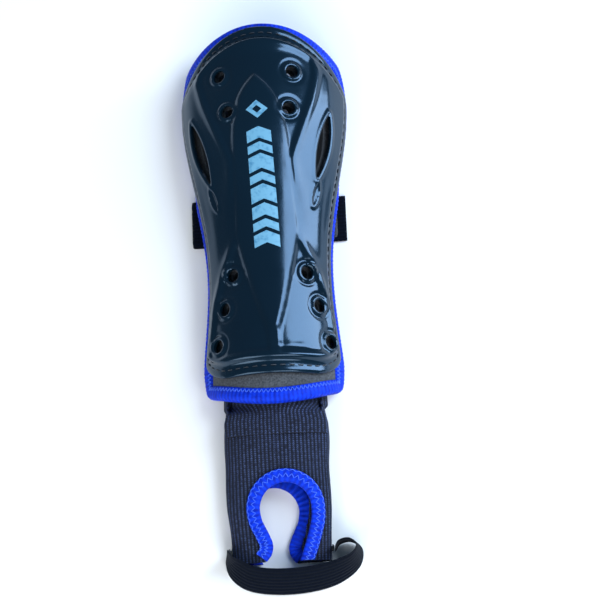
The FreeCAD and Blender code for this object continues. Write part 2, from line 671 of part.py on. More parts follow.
def make_calf_strap():
    """The free run of the strap: flat on the floor, with a half turn at its left end."""
    body = doc.addObject("PartDesign::Body", "strap_run")
    sketch = new_sketch(body, "strap_profile", "XZ_Plane", "-dims.strap_y")
    thick = size("strap_thick")
    outer = size("strap_turn_radius")
    turn = FreeCAD.Vector(size("strap_turn_x"), outer, 0)
    axis = FreeCAD.Vector(0, 0, 1)
    outer_arc = Part.ArcOfCircle(Part.Circle(turn, axis, outer), math.pi / 2, 3 * math.pi / 2)
    inner_arc = Part.ArcOfCircle(Part.Circle(turn, axis, outer - thick), math.pi / 2, 3 * math.pi / 2)
    end = size("strap_end_x")
    pieces = [
        outer_arc,
        Part.LineSegment(outer_arc.EndPoint, FreeCAD.Vector(end, 0, 0)),
        Part.LineSegment(FreeCAD.Vector(end, 0, 0), FreeCAD.Vector(end, thick, 0)),
        Part.LineSegment(FreeCAD.Vector(end, thick, 0), inner_arc.EndPoint),
        inner_arc,
        Part.LineSegment(inner_arc.StartPoint, outer_arc.StartPoint),
    ]
    ids = [sketch.addGeometry(piece) for piece in pieces]
    turn_arc, under, tip, over, inside_arc, close = ids
    for joint in (
        (under, 2, tip, 1),
        (tip, 2, over, 1),
        (inside_arc, 1, close, 1),
        (close, 2, turn_arc, 1),
        (turn_arc, 3, inside_arc, 3),
    ):
        sketch.addConstraint(Sketcher.Constraint("Coincident", *joint))
    sketch.addConstraint(Sketcher.Constraint("Tangent", turn_arc, 2, under, 1))
    sketch.addConstraint(Sketcher.Constraint("Tangent", over, 2, inside_arc, 2))
    sketch.addConstraint(Sketcher.Constraint("Horizontal", under))
    sketch.addConstraint(Sketcher.Constraint("Horizontal", over))
    sketch.addConstraint(Sketcher.Constraint("Vertical", tip))
    sketch.addConstraint(Sketcher.Constraint("Vertical", close))
    bind(sketch, Sketcher.Constraint("Radius", turn_arc, outer), "dims.strap_turn_radius")
    bind(sketch, Sketcher.Constraint("DistanceY", tip, 1, tip, 2, thick), "dims.strap_thick")
    bind(sketch, Sketcher.Constraint("DistanceX", -1, 1, tip, 1, end), "dims.strap_end_x")
    bind(
        sketch,
        Sketcher.Constraint("DistanceX", turn_arc, 3, -1, 1, -turn.x),
        "-dims.strap_turn_x",
    )
    bind(
        sketch,
        Sketcher.Constraint("DistanceY", -1, 1, turn_arc, 3, outer),
        "dims.strap_turn_radius",
    )
    sketch.addConstraint(Sketcher.Constraint("PointOnObject", turn_arc, 3, close))
    pad = body.newObject("PartDesign::Pad", "strap_pad")
    pad.Profile = sketch
    pad.Midplane = True
    pad.setExpression("Length", "dims.strap_width")
    body.Tip = pad
    body.Label = "calf_strap"
    return body


def make_hook_patch():
    """The hook patch on the inner face of the strap's free end."""
    return box(
        "hook_patch",
        ("dims.hook_x", "dims.strap_y - dims.hook_width / 2", "dims.strap_thick"),
        ("dims.hook_length", "dims.hook_width", "dims.hook_thick"),
    )


def make_flap():
    """The sleeve's front top margin, sewn on the lining inside the pad."""
    layer = formed_layer("flap_layer", "flap_inside", "flap_outside", "flap_angle")
    block = box(
        "flap_block",
        ("-2 * dims.beyond", "dims.flap_foot", "0"),
        ("4 * dims.beyond", "dims.flap_top - dims.flap_foot", "2 * dims.beyond"),
    )
    return common("sleeve_flap", layer, block)


def slot_outline(sketch, half, tall, centre_x, centre_y, words):
    """A flattened ring section: two straight edges and two round ends.

    words are the expressions of half width, height and the two centre coordinates.
    """
    round_radius = tall / 2
    reach = half - round_radius
    axis = FreeCAD.Vector(0, 0, 1)
    right_circle = Part.Circle(FreeCAD.Vector(centre_x + reach, centre_y, 0), axis, round_radius)
    left_circle = Part.Circle(FreeCAD.Vector(centre_x - reach, centre_y, 0), axis, round_radius)
    right_arc = Part.ArcOfCircle(right_circle, -math.pi / 2, math.pi / 2)
    left_arc = Part.ArcOfCircle(left_circle, math.pi / 2, 3 * math.pi / 2)
    right = sketch.addGeometry(right_arc)
    top = sketch.addGeometry(Part.LineSegment(right_arc.EndPoint, left_arc.StartPoint))
    left = sketch.addGeometry(left_arc)
    base = sketch.addGeometry(Part.LineSegment(left_arc.EndPoint, right_arc.StartPoint))
    for first, second in ((right, top), (top, left), (left, base), (base, right)):
        sketch.addConstraint(Sketcher.Constraint("Tangent", first, 2, second, 1))
    sketch.addConstraint(Sketcher.Constraint("Horizontal", top))
    half_words, tall_words, x_words, y_words = words
    bind(sketch, Sketcher.Constraint("Radius", right, round_radius), f"({tall_words}) / 2")
    right_words = f"({x_words}) + ({half_words}) - ({tall_words}) / 2"
    left_words = f"({half_words}) - ({tall_words}) / 2 - ({x_words})"
    bind(sketch, Sketcher.Constraint("DistanceX", -1, 1, right, 3, centre_x + reach), right_words)
    bind(sketch, Sketcher.Constraint("DistanceX", left, 3, -1, 1, reach - centre_x), left_words)
    bind(sketch, Sketcher.Constraint("DistanceY", -1, 1, right, 3, centre_y), y_words)


def tube_loft(name, wall):
    """The solid inside one skin of the sleeve: wall 0 is its outside."""
    body = doc.addObject("PartDesign::Body", name)
    wall_now = size("sleeve_wall") if wall else 0.0
    wall_words = " - dims.sleeve_wall" if wall else ""
    sections = []
    for station in ("rim", "seam", "tip"):
        sketch = new_sketch(body, f"{name}_{station}", "XZ_Plane", f"-dims.{station}_y")
        half = size(f"{station}_half") - wall_now
        tall = size(f"{station}_tall") - 2 * wall_now
        centre = size("sleeve_base") + size(f"{station}_tall") / 2
        words = (
            f"dims.{station}_half{wall_words}",
            f"dims.{station}_tall{wall_words}{wall_words}",
            "0",
            f"dims.sleeve_base + dims.{station}_tall / 2",
        )
        slot_outline(sketch, half, tall, 0.0, centre, words)
        sections.append(sketch)
    loft = body.newObject("PartDesign::AdditiveLoft", f"{name}_loft")
    loft.Profile = sections[0]
    loft.Sections = sections[1:]
    loft.Ruled = True
    body.Tip = loft
    doc.recompute()
    return body


def arch_prism(name, shift, grow, low, high):
    """An upright block with the outline of an ankle opening, larger by grow all round."""
    radius = size("arch_radius") + grow
    centre_y = size("arch_top") - size("arch_radius")
    tip_half = size("arch_tip_half") + grow
    past = size("tip_y") - 12.0
    left = FreeCAD.Vector(shift - radius, centre_y, 0)
    right = FreeCAD.Vector(shift + radius, centre_y, 0)
    top = FreeCAD.Vector(shift, centre_y + radius, 0)
    left_tip = FreeCAD.Vector(shift - tip_half, past, 0)
    right_tip = FreeCAD.Vector(shift + tip_half, past, 0)
    edges = [
        Part.Arc(left, top, right).toShape(),
        Part.LineSegment(right, right_tip).toShape(),
        Part.LineSegment(right_tip, left_tip).toShape(),
        Part.LineSegment(left_tip, left).toShape(),
    ]
    prism = doc.addObject("Part::Feature", name)
    prism.Shape = Part.Face(Part.Wire(edges)).extrude(FreeCAD.Vector(0, 0, high - low))
    prism.Placement.Base.z = low
    return prism


def side_block(name, points, half):
    """A block across the guard whose side outline is given as (along, up) points."""
    corners = [FreeCAD.Vector(-half, along, up) for along, up in points]
    block = doc.addObject("Part::Feature", name)
    face = Part.Face(Part.makePolygon(corners + corners[:1]))
    block.Shape = face.extrude(FreeCAD.Vector(2 * half, 0, 0))
    return block


def make_sleeve():
    """The ankle sleeve: a tapering flat tube, open at both ends, with front and rear openings."""
    outside = tube_loft("sleeve_outside", False)
    inside = tube_loft("sleeve_inside", True)
    tube = cut("sleeve_tube", outside, inside)
    start = size("front_start")
    rim = size("rim_y")
    low = size("sleeve_base") + size("sleeve_wall") + size("mouth_rise")
    above = size("tool_top")
    beneath = size("tool_foot")
    past = rim - beneath
    slope = [
        (start, above),
        (start, size("mouth_top")),
        (rim - size("mouth_back"), low),
        (past, low),
        (past, above),
    ]
    mouth = side_block("sleeve_mouth", slope, above)
    clearance = formed_layer("pad_clearance", "leg_clearance", "beyond", "clear_angle")
    trim_end(clearance, "hem_tip", "hem_arc", "clearance_grow", -1)
    lip = size("arch_binding_lip")
    shift = size("arch_shift")
    middle = size("sleeve_base") + size("tip_tall") / 2
    front = arch_prism("front_opening", shift, lip, middle, above)
    rear = arch_prism("rear_opening", -shift, lip, beneath, middle)
    tools = fuse("sleeve_cutters", mouth, clearance, front, rear)
    return cut("ankle_sleeve", tube, tools), outside


def make_arch_bindings(sleeve):
    """The tapes round the front and rear openings, each a channel over the knit's edge."""
    lip = size("arch_binding_lip")
    wide = size("arch_binding_width")
    wall = size("sleeve_wall")
    base = size("sleeve_base")
    tip, seam = size("tip_y"), size("seam_y")
    tip_top = base + size("tip_tall")
    seam_top = base + size("seam_tall")
    front = [
        (tip, tip_top + lip),
        (seam, seam_top + lip),
        (seam, seam_top - wall - lip),
        (tip, tip_top - wall - lip),
    ]
    rear = [(tip, base - lip), (seam, base - lip), (seam, base + wall + lip), (tip, base + wall + lip)]
    made = []
    for name, outline, sign in (("front_binding", front, 1), ("rear_binding", rear, -1)):
        shift = sign * size("arch_shift")
        slab = side_block(f"{name}_slab", outline, 40.0)
        outer = arch_prism(f"{name}_outer", shift, wide, -10.0, 60.0)
        inner = arch_prism(f"{name}_inner", shift, 0.0, -20.0, 70.0)
        band = common(f"{name}_band", slab, cut(f"{name}_ring", outer, inner))
        made.append(cut(name, band, sleeve))
    return made


def make_rear_hem():
    """The turned-in hem of the sleeve's rear rim, lying on the rear panel."""
    return box(
        "rear_hem",
        ("-dims.hem_half", "dims.rim_y - dims.hem_width", "dims.sleeve_base + dims.sleeve_wall"),
        ("2 * dims.hem_half", "dims.hem_width", "dims.hem_thick"),
    )


def make_ankle_pad(side, sign):
    """An oval foam pad inside one side of the sleeve, standing on edge."""
    body = doc.addObject("PartDesign::Body", f"ankle_pad_{side}_body")
    start = "dims.ankle_pad_x" if sign > 0 else "-dims.ankle_pad_x - dims.ankle_pad_thick"
    sketch = new_sketch(body, f"ankle_pad_{side}_outline", "YZ_Plane", start)
    words = (
        "dims.ankle_pad_half",
        "dims.ankle_pad_tall",
        "dims.ankle_pad_y",
        "dims.ankle_pad_z",
    )
    slot_outline(
        sketch,
        size("ankle_pad_half"),
        size("ankle_pad_tall"),
        size("ankle_pad_y"),
        size("ankle_pad_z"),
        words,
    )
    pad = body.newObject("PartDesign::Pad", f"ankle_pad_{side}_solid")
    pad.Profile = sketch
    pad.setExpression("Length", "dims.ankle_pad_thick")
    body.Tip = pad
    body.Label = f"ankle_pad_{side}"
    return body


def make_stirrup():
    """The strap under the foot: from the left tip round to the right side of the sleeve.

    Each place is across, along, height of its middle, and lean: how far it stands up from flat.
    """
    route = (
        (-25.5, -162.3, 8.2, 50.0),
        (-18.0, -167.5, 7.9, 48.0),
        (-3.0, -169.9, 7.8, 46.0),
        (15.0, -169.5, 7.9, 47.0),
        (31.0, -166.3, 8.5, 52.0),
        (43.0, -160.3, 9.9, 66.0),
        (47.5, -153.3, 10.5, 80.0),
        (43.5, -147.3, 10.8, 86.0),
        (35.0, -146.3, 10.8, 88.0),
    )
    half_width = size("stirrup_width") / 2
    half_thick = size("stirrup_thick") / 2
    sections = []
    for index, (x, y, z, lean) in enumerate(route):
        before = route[max(index - 1, 0)]
        after = route[min(index + 1, len(route) - 1)]
        along = FreeCAD.Vector(after[0] - before[0], after[1] - before[1], 0).normalize()
        inward = FreeCAD.Vector(-along.y, along.x, 0)
        up = FreeCAD.Vector(0, 0, 1)
        angle = math.radians(lean)
        across = (inward * math.cos(angle) + up * math.sin(angle)) * half_width
        through = (up * math.cos(angle) - inward * math.sin(angle)) * half_thick
        middle = FreeCAD.Vector(x, y, z)
        corners = [
            middle - across - through,
            middle + across - through,
            middle + across + through,
            middle - across + through,
        ]
        sections.append(Part.makePolygon(corners + corners[:1]))
    stirrup = doc.addObject("Part::Feature", "stirrup_strap")
    stirrup.Shape = Part.makeLoft(sections, True, False)
    return stirrup


def make_bar_tack(side, sign, sleeve_outside):
    """Dense thread on the outer side of a sleeve tip, where the stirrup is sewn on.

    The tack follows the knit: a block, less the sleeve's solid form.
    """
    start = "dims.tack_near" if sign > 0 else "-dims.tip_half - dims.tack_grow - dims.tack_past"
    block = box(
        f"tack_block_{side}",
        (start, "dims.tack_y", "dims.tack_foot"),
        (
            "dims.tip_half + dims.tack_grow + dims.tack_past - dims.tack_near",
            "dims.tack_wide",
            "dims.tack_tall",
        ),
    )
    return cut(f"bar_tack_{side}", block, sleeve_outside)


def failed_objects():
    """Names of the objects that the last recompute left in error."""
    return [o.Name for o in doc.Objects if "Invalid" in o.State or "Error" in o.State]


def export(parts):
    """Checks every piece, then writes each to its own file."""
    doc.recompute()
    failed = failed_objects()
    if failed:
        raise RuntimeError(f"these objects failed: {failed}")
    for part in parts:
        if part.Shape.isNull() or not part.Shape.isValid() or not part.Shape.Solids:
            raise RuntimeError(f"{part.Label} has no valid solid")
    os.makedirs("parts", exist_ok=True)
    for part in parts:
        solids = Part.makeCompound(part.Shape.Solids) if len(part.Shape.Solids) > 1 else part.Shape.Solids[0]
        solids.exportStep(f"parts/{part.Label}.step")
        print(f"{part.Label}: {len(part.Shape.Solids)} solid(s), {part.Shape.Volume:.0f} mm3")


fill_sheet()
openings = make_openings()
sleeve, sleeve_outside = make_sleeve()
PARTS = [
    make_shell(openings),
    *make_pad(openings),
    make_binding(),
    make_shell_thread(),
    make_loop_patch(),
    make_strap_anchor(),
    make_anchor_thread(),
    make_calf_strap(),
    make_hook_patch(),
    make_flap(),
    sleeve,
    *make_arch_bindings(sleeve),
    make_rear_hem(),
    make_ankle_pad("left", -1),
    make_ankle_pad("right", 1),
    make_stirrup(),
    make_bar_tack("left", -1, sleeve_outside),
    make_bar_tack("right", 1, sleeve_outside),
]
export(PARTS)
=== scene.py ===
"""Looks of the ankle shin guard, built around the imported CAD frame. Lengths here are in millimetres
until a mesh is made, which is in metres."""

import math

import bmesh
import bpy
import numpy as np
from mathutils import Matrix, Vector
from mathutils.bvhtree import BVHTree


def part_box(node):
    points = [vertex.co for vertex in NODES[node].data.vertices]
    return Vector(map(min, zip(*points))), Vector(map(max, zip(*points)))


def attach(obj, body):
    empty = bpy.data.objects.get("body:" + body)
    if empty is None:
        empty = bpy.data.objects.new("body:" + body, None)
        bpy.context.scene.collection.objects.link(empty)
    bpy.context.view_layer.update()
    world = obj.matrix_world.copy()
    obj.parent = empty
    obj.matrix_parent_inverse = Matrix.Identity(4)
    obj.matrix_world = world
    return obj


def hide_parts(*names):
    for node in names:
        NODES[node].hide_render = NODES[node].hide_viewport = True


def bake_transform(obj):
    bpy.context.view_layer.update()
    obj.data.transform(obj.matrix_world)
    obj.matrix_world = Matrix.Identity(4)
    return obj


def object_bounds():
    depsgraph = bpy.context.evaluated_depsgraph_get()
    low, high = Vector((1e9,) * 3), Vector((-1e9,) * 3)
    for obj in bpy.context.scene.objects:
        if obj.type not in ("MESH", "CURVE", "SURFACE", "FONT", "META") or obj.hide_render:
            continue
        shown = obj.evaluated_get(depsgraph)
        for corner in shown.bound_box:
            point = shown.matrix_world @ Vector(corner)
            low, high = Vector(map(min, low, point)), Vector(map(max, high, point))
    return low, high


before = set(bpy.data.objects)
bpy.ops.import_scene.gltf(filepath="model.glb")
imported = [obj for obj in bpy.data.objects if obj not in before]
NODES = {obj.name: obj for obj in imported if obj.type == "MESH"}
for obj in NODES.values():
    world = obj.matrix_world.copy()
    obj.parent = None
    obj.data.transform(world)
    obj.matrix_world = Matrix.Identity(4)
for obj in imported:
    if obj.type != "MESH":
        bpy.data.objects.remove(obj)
cad_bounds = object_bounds()
MM = 0.001
rng = np.random.default_rng(7)


# ---- small maths

def smooth(t):
    """0 below 0, 1 above 1, and an even slope between."""
    t = np.clip(t, 0.0, 1.0)
    return t * t * (3 - 2 * t)


def bump(t):
    """A rounded ridge, 1 at 0."""
    return np.exp(-t * t)


def unit(v):
    return v / np.maximum(np.linalg.norm(v, axis=-1, keepdims=True), 1e-12)


def spline(points, count, closed=False):
    """Points evenly spaced along a smooth curve through the given ones."""
    p = np.asarray(points, float)
    if closed:
        p = np.vstack([p[-1], p, p[0], p[1]])
    else:
        p = np.vstack([2 * p[0] - p[1], p, 2 * p[-1] - p[-2]])
    pieces = []
    t = np.linspace(0, 1, 24, endpoint=False)[:, None]
    for a, b, c, d in zip(p, p[1:], p[2:], p[3:]):
        pieces.append(
            0.5 * (2 * b + (c - a) * t + (2 * a - 5 * b + 4 * c - d) * t**2
                   + (3 * b - a - 3 * c + d) * t**3)
        )
    if not closed:
        pieces.append(p[-2][None])
    return even(np.vstack(pieces), count, closed)


def even(line, count, closed=False):
    """A polyline resampled to evenly spaced points."""
    if closed:
        line = np.vstack([line, line[:1]])
    steps = np.linalg.norm(np.diff(line, axis=0), axis=1)
    along = np.concatenate([[0], np.cumsum(steps)])
    wanted = np.linspace(0, along[-1], count + 1 if closed else count)
    if closed:
        wanted = wanted[:-1]
    return np.stack([np.interp(wanted, along, line[:, k]) for k in range(line.shape[1])], axis=1)


def length_of(line, closed=False):
    if closed:
        line = np.vstack([line, line[:1]])
    return np.linalg.norm(np.diff(line, axis=0), axis=1).sum()


# ---- the guard's form, read from the frame

def tree_of(name):
    mesh = NODES[name].data
    return BVHTree.FromPolygons([v.co[:] for v in mesh.vertices], [p.vertices[:] for p in mesh.polygons])


class Form:
    """Radius and centre height of the pad's front face along the guard, measured on the facing."""

    def __init__(self):
        tree = tree_of("outer_facing")
        lowest, highest = (c.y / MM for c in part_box("outer_facing"))
        rows = []
        for y in np.arange(lowest + 2, highest - 1, 3.0):
            top = self.hit(tree, 0.0, y)
            if y < -48 or y > 156:
                rows.append((y, np.nan, top[1]))
                continue
            side = self.hit(tree, math.radians(64 if y < 128 else 41), y)
            drop = top[1] - side[1]
            rows.append((y, (side[0] ** 2 + drop**2) / (2 * drop), top[1]))
        rows = np.array(rows)
        known = ~np.isnan(rows[:, 1])
        fit = np.polyfit(rows[known, 0], rows[known, 1], 9)
        self.y = rows[:, 0]
        inside = np.clip(self.y, rows[known, 0].min(), rows[known, 0].max())
        slope = np.polyval(np.polyder(fit), inside)
        self.r = np.polyval(fit, inside) + slope * (self.y - inside)
        self.z = rows[:, 2] - self.r

    @staticmethod
    def hit(tree, angle, y):
        """Where a line from outside towards the hub meets the surface, as (x, z)."""
        way = Vector((math.sin(angle), 0, math.cos(angle)))
        start = Vector((0, y * MM, -6 * MM)) + way * 0.2
        place = tree.ray_cast(start, -way)[0]
        return place.x / MM, place.z / MM

    def radius(self, y):
        return np.interp(y, self.y, self.r)

    def centre(self, y):
        return np.interp(y, self.y, self.z)

    def point(self, s, y, off):
        """s is the distance round the front face from the spine, off the distance out from it."""
        r = self.radius(y)
        a = s / r
        return np.stack([(r + off) * np.sin(a), y + 0 * a, self.centre(y) + (r + off) * np.cos(a)], -1)


MIDDLE = (0, 55)  # a place well inside every outline
form = Form()


def outline_of(name, level, count):
    """A node's outer edge as (s, y) points, found along rays from the middle of the guard."""
    tree = tree_of(name)
    found = []
    for turn in np.linspace(0, 2 * math.pi, count, endpoint=False):
        way = np.array([math.sin(turn), math.cos(turn)])

        def there(t):
            s, y = way * t + MIDDLE
            r = form.radius(y)
            if abs(s / r) > 1.6:
                return False
            at = form.point(np.array(s), np.array(y), level + 12)
            towards = Vector((0, y, float(form.centre(y)))) - Vector(at)
            return tree.ray_cast(Vector(at) * MM, towards.normalized(), 26 * MM)[0] is not None

        t = 135.0
        while t > 0 and not there(t):
            t -= 1.0
        low, high = t, t + 1.0
        for _ in range(7):
            middle = (low + high) / 2
            low, high = (middle, high) if there(middle) else (low, middle)
        found.append(way * low + MIDDLE)
    return even(np.array(found), count, closed=True)


def rounded(line, passes):
    """A closed outline with its corners eased."""
    for _ in range(passes):
        line = (np.roll(line, 1, 0) + 2 * line + np.roll(line, -1, 0)) / 4
    return line


def inside_distance(line):
    """A function: distance of (s, y) points from a closed outline, above 0 inside it."""
    a = line
    b = np.roll(line, -1, 0)
    ab = b - a
    square = (ab**2).sum(1)

    def distance(s, y):
        shape = np.shape(s)
        p = np.stack([np.ravel(s), np.ravel(y)], 1)
        best = np.full(len(p), 1e9)
        crossings = np.zeros(len(p), int)
        for i in range(len(a)):
            t = np.clip(((p - a[i]) @ ab[i]) / square[i], 0, 1)
            gap = p - a[i] - t[:, None] * ab[i]
            best = np.minimum(best, (gap**2).sum(1))
            spans = (a[i, 1] > p[:, 1]) != (b[i, 1] > p[:, 1])
            if ab[i, 1] != 0:
                cross = a[i, 0] + (p[:, 1] - a[i, 1]) * ab[i, 0] / ab[i, 1]
                crossings += spans & (p[:, 0] < cross)
        return np.where(crossings % 2 == 1, 1, -1).reshape(shape) * np.sqrt(best).reshape(shape)

    return distance


guard_line = rounded(outline_of("edge_binding", 1.0, 480), 14)
shell_line = rounded(outline_of("shell", 3.0, 480), 8)
guard_edge = inside_distance(guard_line[::2])
shell_edge = inside_distance(shell_line[::2])


LEAN, LEAN_MIDDLE, LEAN_REACH = 4.5, 55.5, 122


def lean(y):
    """How far round the spine's features are turned, as a distance on the front face."""
    return -np.radians(LEAN) * (y - LEAN_MIDDLE) / LEAN_REACH * form.radius(y)


HUB = -8.0
VENTS = [(25.0, 142.0), (20.5, 117.0), (28.5, 13.5), (38.0, -6.5), (46.0, -28.5)]
VENT_RADIUS = 4.1
SLOT_ANGLE = math.radians(44)
SLOT_RADIUS = 53


def vent_axes():
    for angle, y in VENTS:
        for sign in (1, -1):
            a = math.radians(sign * angle + (-LEAN * (y - LEAN_MIDDLE) / LEAN_REACH))
            yield np.array([0, y, HUB]), np.array([math.sin(a), 0, math.cos(a)])


def vent_gap(p):
    """Distance of points outside the nearest vent's edge."""
    best = np.full(p.shape[:-1], 1e3)
    for start, way in vent_axes():
        rel = p - start
        along = rel @ way
        off = np.linalg.norm(rel - along[..., None] * way, axis=-1) - VENT_RADIUS
        best = np.where(along > 0, np.minimum(best, off), best)
    return best


def slot_gap(p, top=117.0, foot=72.0, bulge=4.6, drops=(5.0, -6.0)):
    """Distance of points outside the nearest side slot's edge: a lens between two arcs."""
    best = np.full(p.shape[:-1], 1e3)
    for sign in (1, -1):
        way = np.array([sign * math.sin(SLOT_ANGLE), 0, math.cos(SLOT_ANGLE)])
        down = np.array([sign * math.cos(SLOT_ANGLE), 0, -math.sin(SLOT_ANGLE)])
        rel = p - np.array([0, 0, HUB])
        u, v = rel @ down, rel[..., 1]
        ends = []
        for y, drop in ((top, drops[0]), (foot, drops[1])):
            turned = sign * math.radians(LEAN) * (y - LEAN_MIDDLE) / LEAN_REACH * SLOT_RADIUS
            ends.append(np.array([drop - turned, y]))
        chord = ends[0] - ends[1]
        half = np.linalg.norm(chord) / 2
        e = chord / (2 * half)
        across = np.array([e[1], -e[0]])
        middle = (ends[0] + ends[1]) / 2
        ru, rv = u - middle[0], v - middle[1]
        pu = np.abs(ru * across[0] + rv * across[1])
        pv = ru * e[0] + rv * e[1]
        radius = (half**2 + bulge**2) / (2 * bulge)
        gap = np.hypot(pu + radius - bulge, pv) - radius
        gap = np.where(np.abs(pv) > half, np.hypot(pu, np.abs(pv) - half), gap)
        best = np.where(rel @ way > 0, np.minimum(best, gap), best)
    return best


# ---- meshes

def make_object(name, points, faces, uv=None, material=None, smooth_angle=42, scale=MM):
    """A mesh object in metres; uv is one pair per point, in metres of cloth."""
    mesh = bpy.data.meshes.new(name)
    mesh.from_pydata((np.asarray(points) * scale).tolist(), [], [list(map(int, f)) for f in faces])
    mesh.validate()
    if uv is not None:
        layer = mesh.uv_layers.new(name="cloth")
        corner = np.zeros(len(mesh.loops), int)
        mesh.loops.foreach_get("vertex_index", corner)
        layer.data.foreach_set("uv", (np.asarray(uv)[corner] * MM).astype(np.float32).ravel())
    mesh.update()
    mesh.shade_smooth()
    mesh.set_sharp_from_angle(angle=math.radians(smooth_angle))
    obj = bpy.data.objects.new(name, mesh)
    bpy.context.scene.collection.objects.link(obj)
    if material:
        mesh.materials.append(material)
    return obj


def trimmed_grid(u, v, gap, snap=3):
    """A grid of (u, v) cut to where gap is above 0, its edge moved onto the line where gap is 0."""
    uu, vv = np.meshgrid(u, v, indexing="ij")
    g = gap(uu, vv)
    quads = grid_quads(len(u), len(v))
    flat = g.ravel()
    keep = (flat[quads] > 0).any(1) & (flat[quads] > -3 * max(u[1] - u[0], v[1] - v[0])).all(1)
    quads = quads[keep]
    used = np.unique(quads)
    new = np.full(flat.size, -1)
    new[used] = np.arange(len(used))
    quads = new[quads]
    pu, pv, pg = uu.ravel()[used], vv.ravel()[used], flat[used]
    out = pg < 0.0
    step = 0.05
    for _ in range(snap):
        a, b = pu[out], pv[out]
        here = gap(a, b)
        du = (gap(a + step, b) - here) / step
        dv = (gap(a, b + step) - here) / step
        size = np.maximum(du**2 + dv**2, 0.2)
        pu[out] = a - here * du / size
        pv[out] = b - here * dv / size
    return pu, pv, quads


def grid_quads(nu, nv):
    """The faces of a grid of nu by nv points."""
    i, j = np.meshgrid(np.arange(nu - 1), np.arange(nv - 1), indexing="ij")
    base = (i * nv + j).ravel()
    return np.stack([base, base + nv, base + nv + 1, base + 1], 1)


def thick_sheet(name, top, under, quads, uv, material, flip=False, **more):
    """A closed sheet from two skins with the same quads."""
    count = len(top)
    edges = {}
    for q in quads:
        for k in range(4):
            a, b = int(q[k]), int(q[(k + 1) % 4])
            if (b, a) in edges:
                del edges[(b, a)]
            else:
                edges[(a, b)] = True
    faces = [list(q) for q in quads]
    faces += [[k + count for k in q[::-1]] for q in quads]
    faces += [[b, a, a + count, b + count] for a, b in edges]
    if flip:
        faces = [f[::-1] for f in faces]
    faces = [f for f in faces if len(set(f)) == len(f)]
    points = np.vstack([top, under])
    return make_object(name, points, faces, np.vstack([uv, uv]), material, **more)


def swept(name, rings, material, uv, closed_path=False, **more):
    """A closed skin through rings of points; every ring has the same count and is itself closed."""
    rings = np.asarray(rings)
    n, m = rings.shape[:2]
    faces = []
    for i in range(n if closed_path else n - 1):
        j = (i + 1) % n
        for k in range(m):
            l = (k + 1) % m
            faces.append([i * m + k, i * m + l, j * m + l, j * m + k])
    if not closed_path:
        faces.append(list(range(m))[::-1])
        faces.append([(n - 1) * m + k for k in range(m)])
    return make_object(name, rings.reshape(-1, 3), faces, uv, material, **more)


def tubes(name, lines, radius, material, sides=6):
    """Thin round threads along several lines, in one mesh."""
    points, faces = [], []
    for line in lines:
        line = np.asarray(line, float)
        along = unit(np.gradient(line, axis=0))
        side = unit(np.cross(along, [0.13, 0.07, 0.99]))
        up = np.cross(side, along)
        base = len(points)
        for k, p in enumerate(line):
            end = min(k, len(line) - 1 - k)
            r = radius * (0.45 if end == 0 else 1.0)
            for s in range(sides):
                t = 2 * math.pi * s / sides
                points.append(p + r * (math.cos(t) * side[k] + math.sin(t) * up[k]))
        for k in range(len(line) - 1):
            for s in range(sides):
                t = (s + 1) % sides
                a = base + k * sides
                faces.append([a + s, a + t, a + sides + t, a + sides + s])
        faces.append([base + s for s in range(sides)][::-1])
        last = base + (len(line) - 1) * sides
        faces.append([last + s for s in range(sides)])
    return make_object(name, points, faces, None, material)


# ---- materials

class Nodes:
    """A material's node tree, with short ways to add to it."""

    def __init__(self, name, **settings):
        self.material = bpy.data.materials.new(name)
        self.material.use_nodes = True
        self.tree = self.material.node_tree
        self.shader = self.tree.nodes["Principled BSDF"]
        for key, value in settings.items():
            self.shader.inputs[key.replace("_", " ")].default_value = value

    def add(self, kind, inputs=None, **settings):
        node = self.tree.nodes.new(kind)
        for key, value in settings.items():
            setattr(node, key, value)
        for key, value in (inputs or {}).items():
            self.put(node.inputs[key], value)
        return node

    def put(self, socket, value):
        if isinstance(value, bpy.types.NodeSocket):
            self.tree.links.new(value, socket)
        else:
            socket.default_value = value

    def math(self, operation, a, b=0.0, c=0.0):
        return self.add("ShaderNodeMath", {0: a, 1: b, 2: c}, operation=operation).outputs[0]

    def cloth(self):
        """The cloth's own (along, across) coordinates, in metres."""
        uv = self.add("ShaderNodeUVMap", uv_map="cloth")
        split = self.add("ShaderNodeSeparateXYZ", {0: uv.outputs[0]})
        return split.outputs[0], split.outputs[1]

    def place(self):
        return self.add("ShaderNodeTexCoord").outputs["Object"]

    def wave(self, value, pitch, shift=0.0):
        """0 to 1, repeating each pitch along value."""
        turn = self.math("MULTIPLY_ADD", value, 2 * math.pi / pitch, shift)
        return self.math("MULTIPLY_ADD", self.math("SINE", turn), 0.5, 0.5)

    def noise(self, scale, detail=3.0, vector=None, rough=0.55):
        inputs = {"Vector": vector or self.place(), "Scale": scale, "Detail": detail, "Roughness": rough}
        return self.add("ShaderNodeTexNoise", inputs).outputs["Fac"]

    def mix(self, factor, a, b):
        node = self.add("ShaderNodeMix", data_type="RGBA")
        self.put(node.inputs[0], factor)
        self.put(node.inputs[6], a)
        self.put(node.inputs[7], b)
        return node.outputs[2]

    def ramp(self, factor, low, high):
        return self.add("ShaderNodeMapRange", {0: factor, 1: low, 2: high}).outputs[0]

    def colour(self, value):
        self.put(self.shader.inputs["Base Color"], value)

    def relief(self, height, distance, strength=1.0):
        before = self.shader.inputs["Normal"].links
        inputs = {"Height": height, "Distance": distance, "Strength": strength}
        if before:
            inputs["Normal"] = before[0].from_socket
        self.put(self.shader.inputs["Normal"], self.add("ShaderNodeBump", inputs).outputs[0])


def rgb(r, g, b):
    """A colour given in the usual 0 to 255 steps of a screen."""
    linear = [(c / 255 / 12.92) if c <= 10 else ((c / 255 + 0.055) / 1.055) ** 2.4 for c in (r, g, b)]
    return (*linear, 1.0)


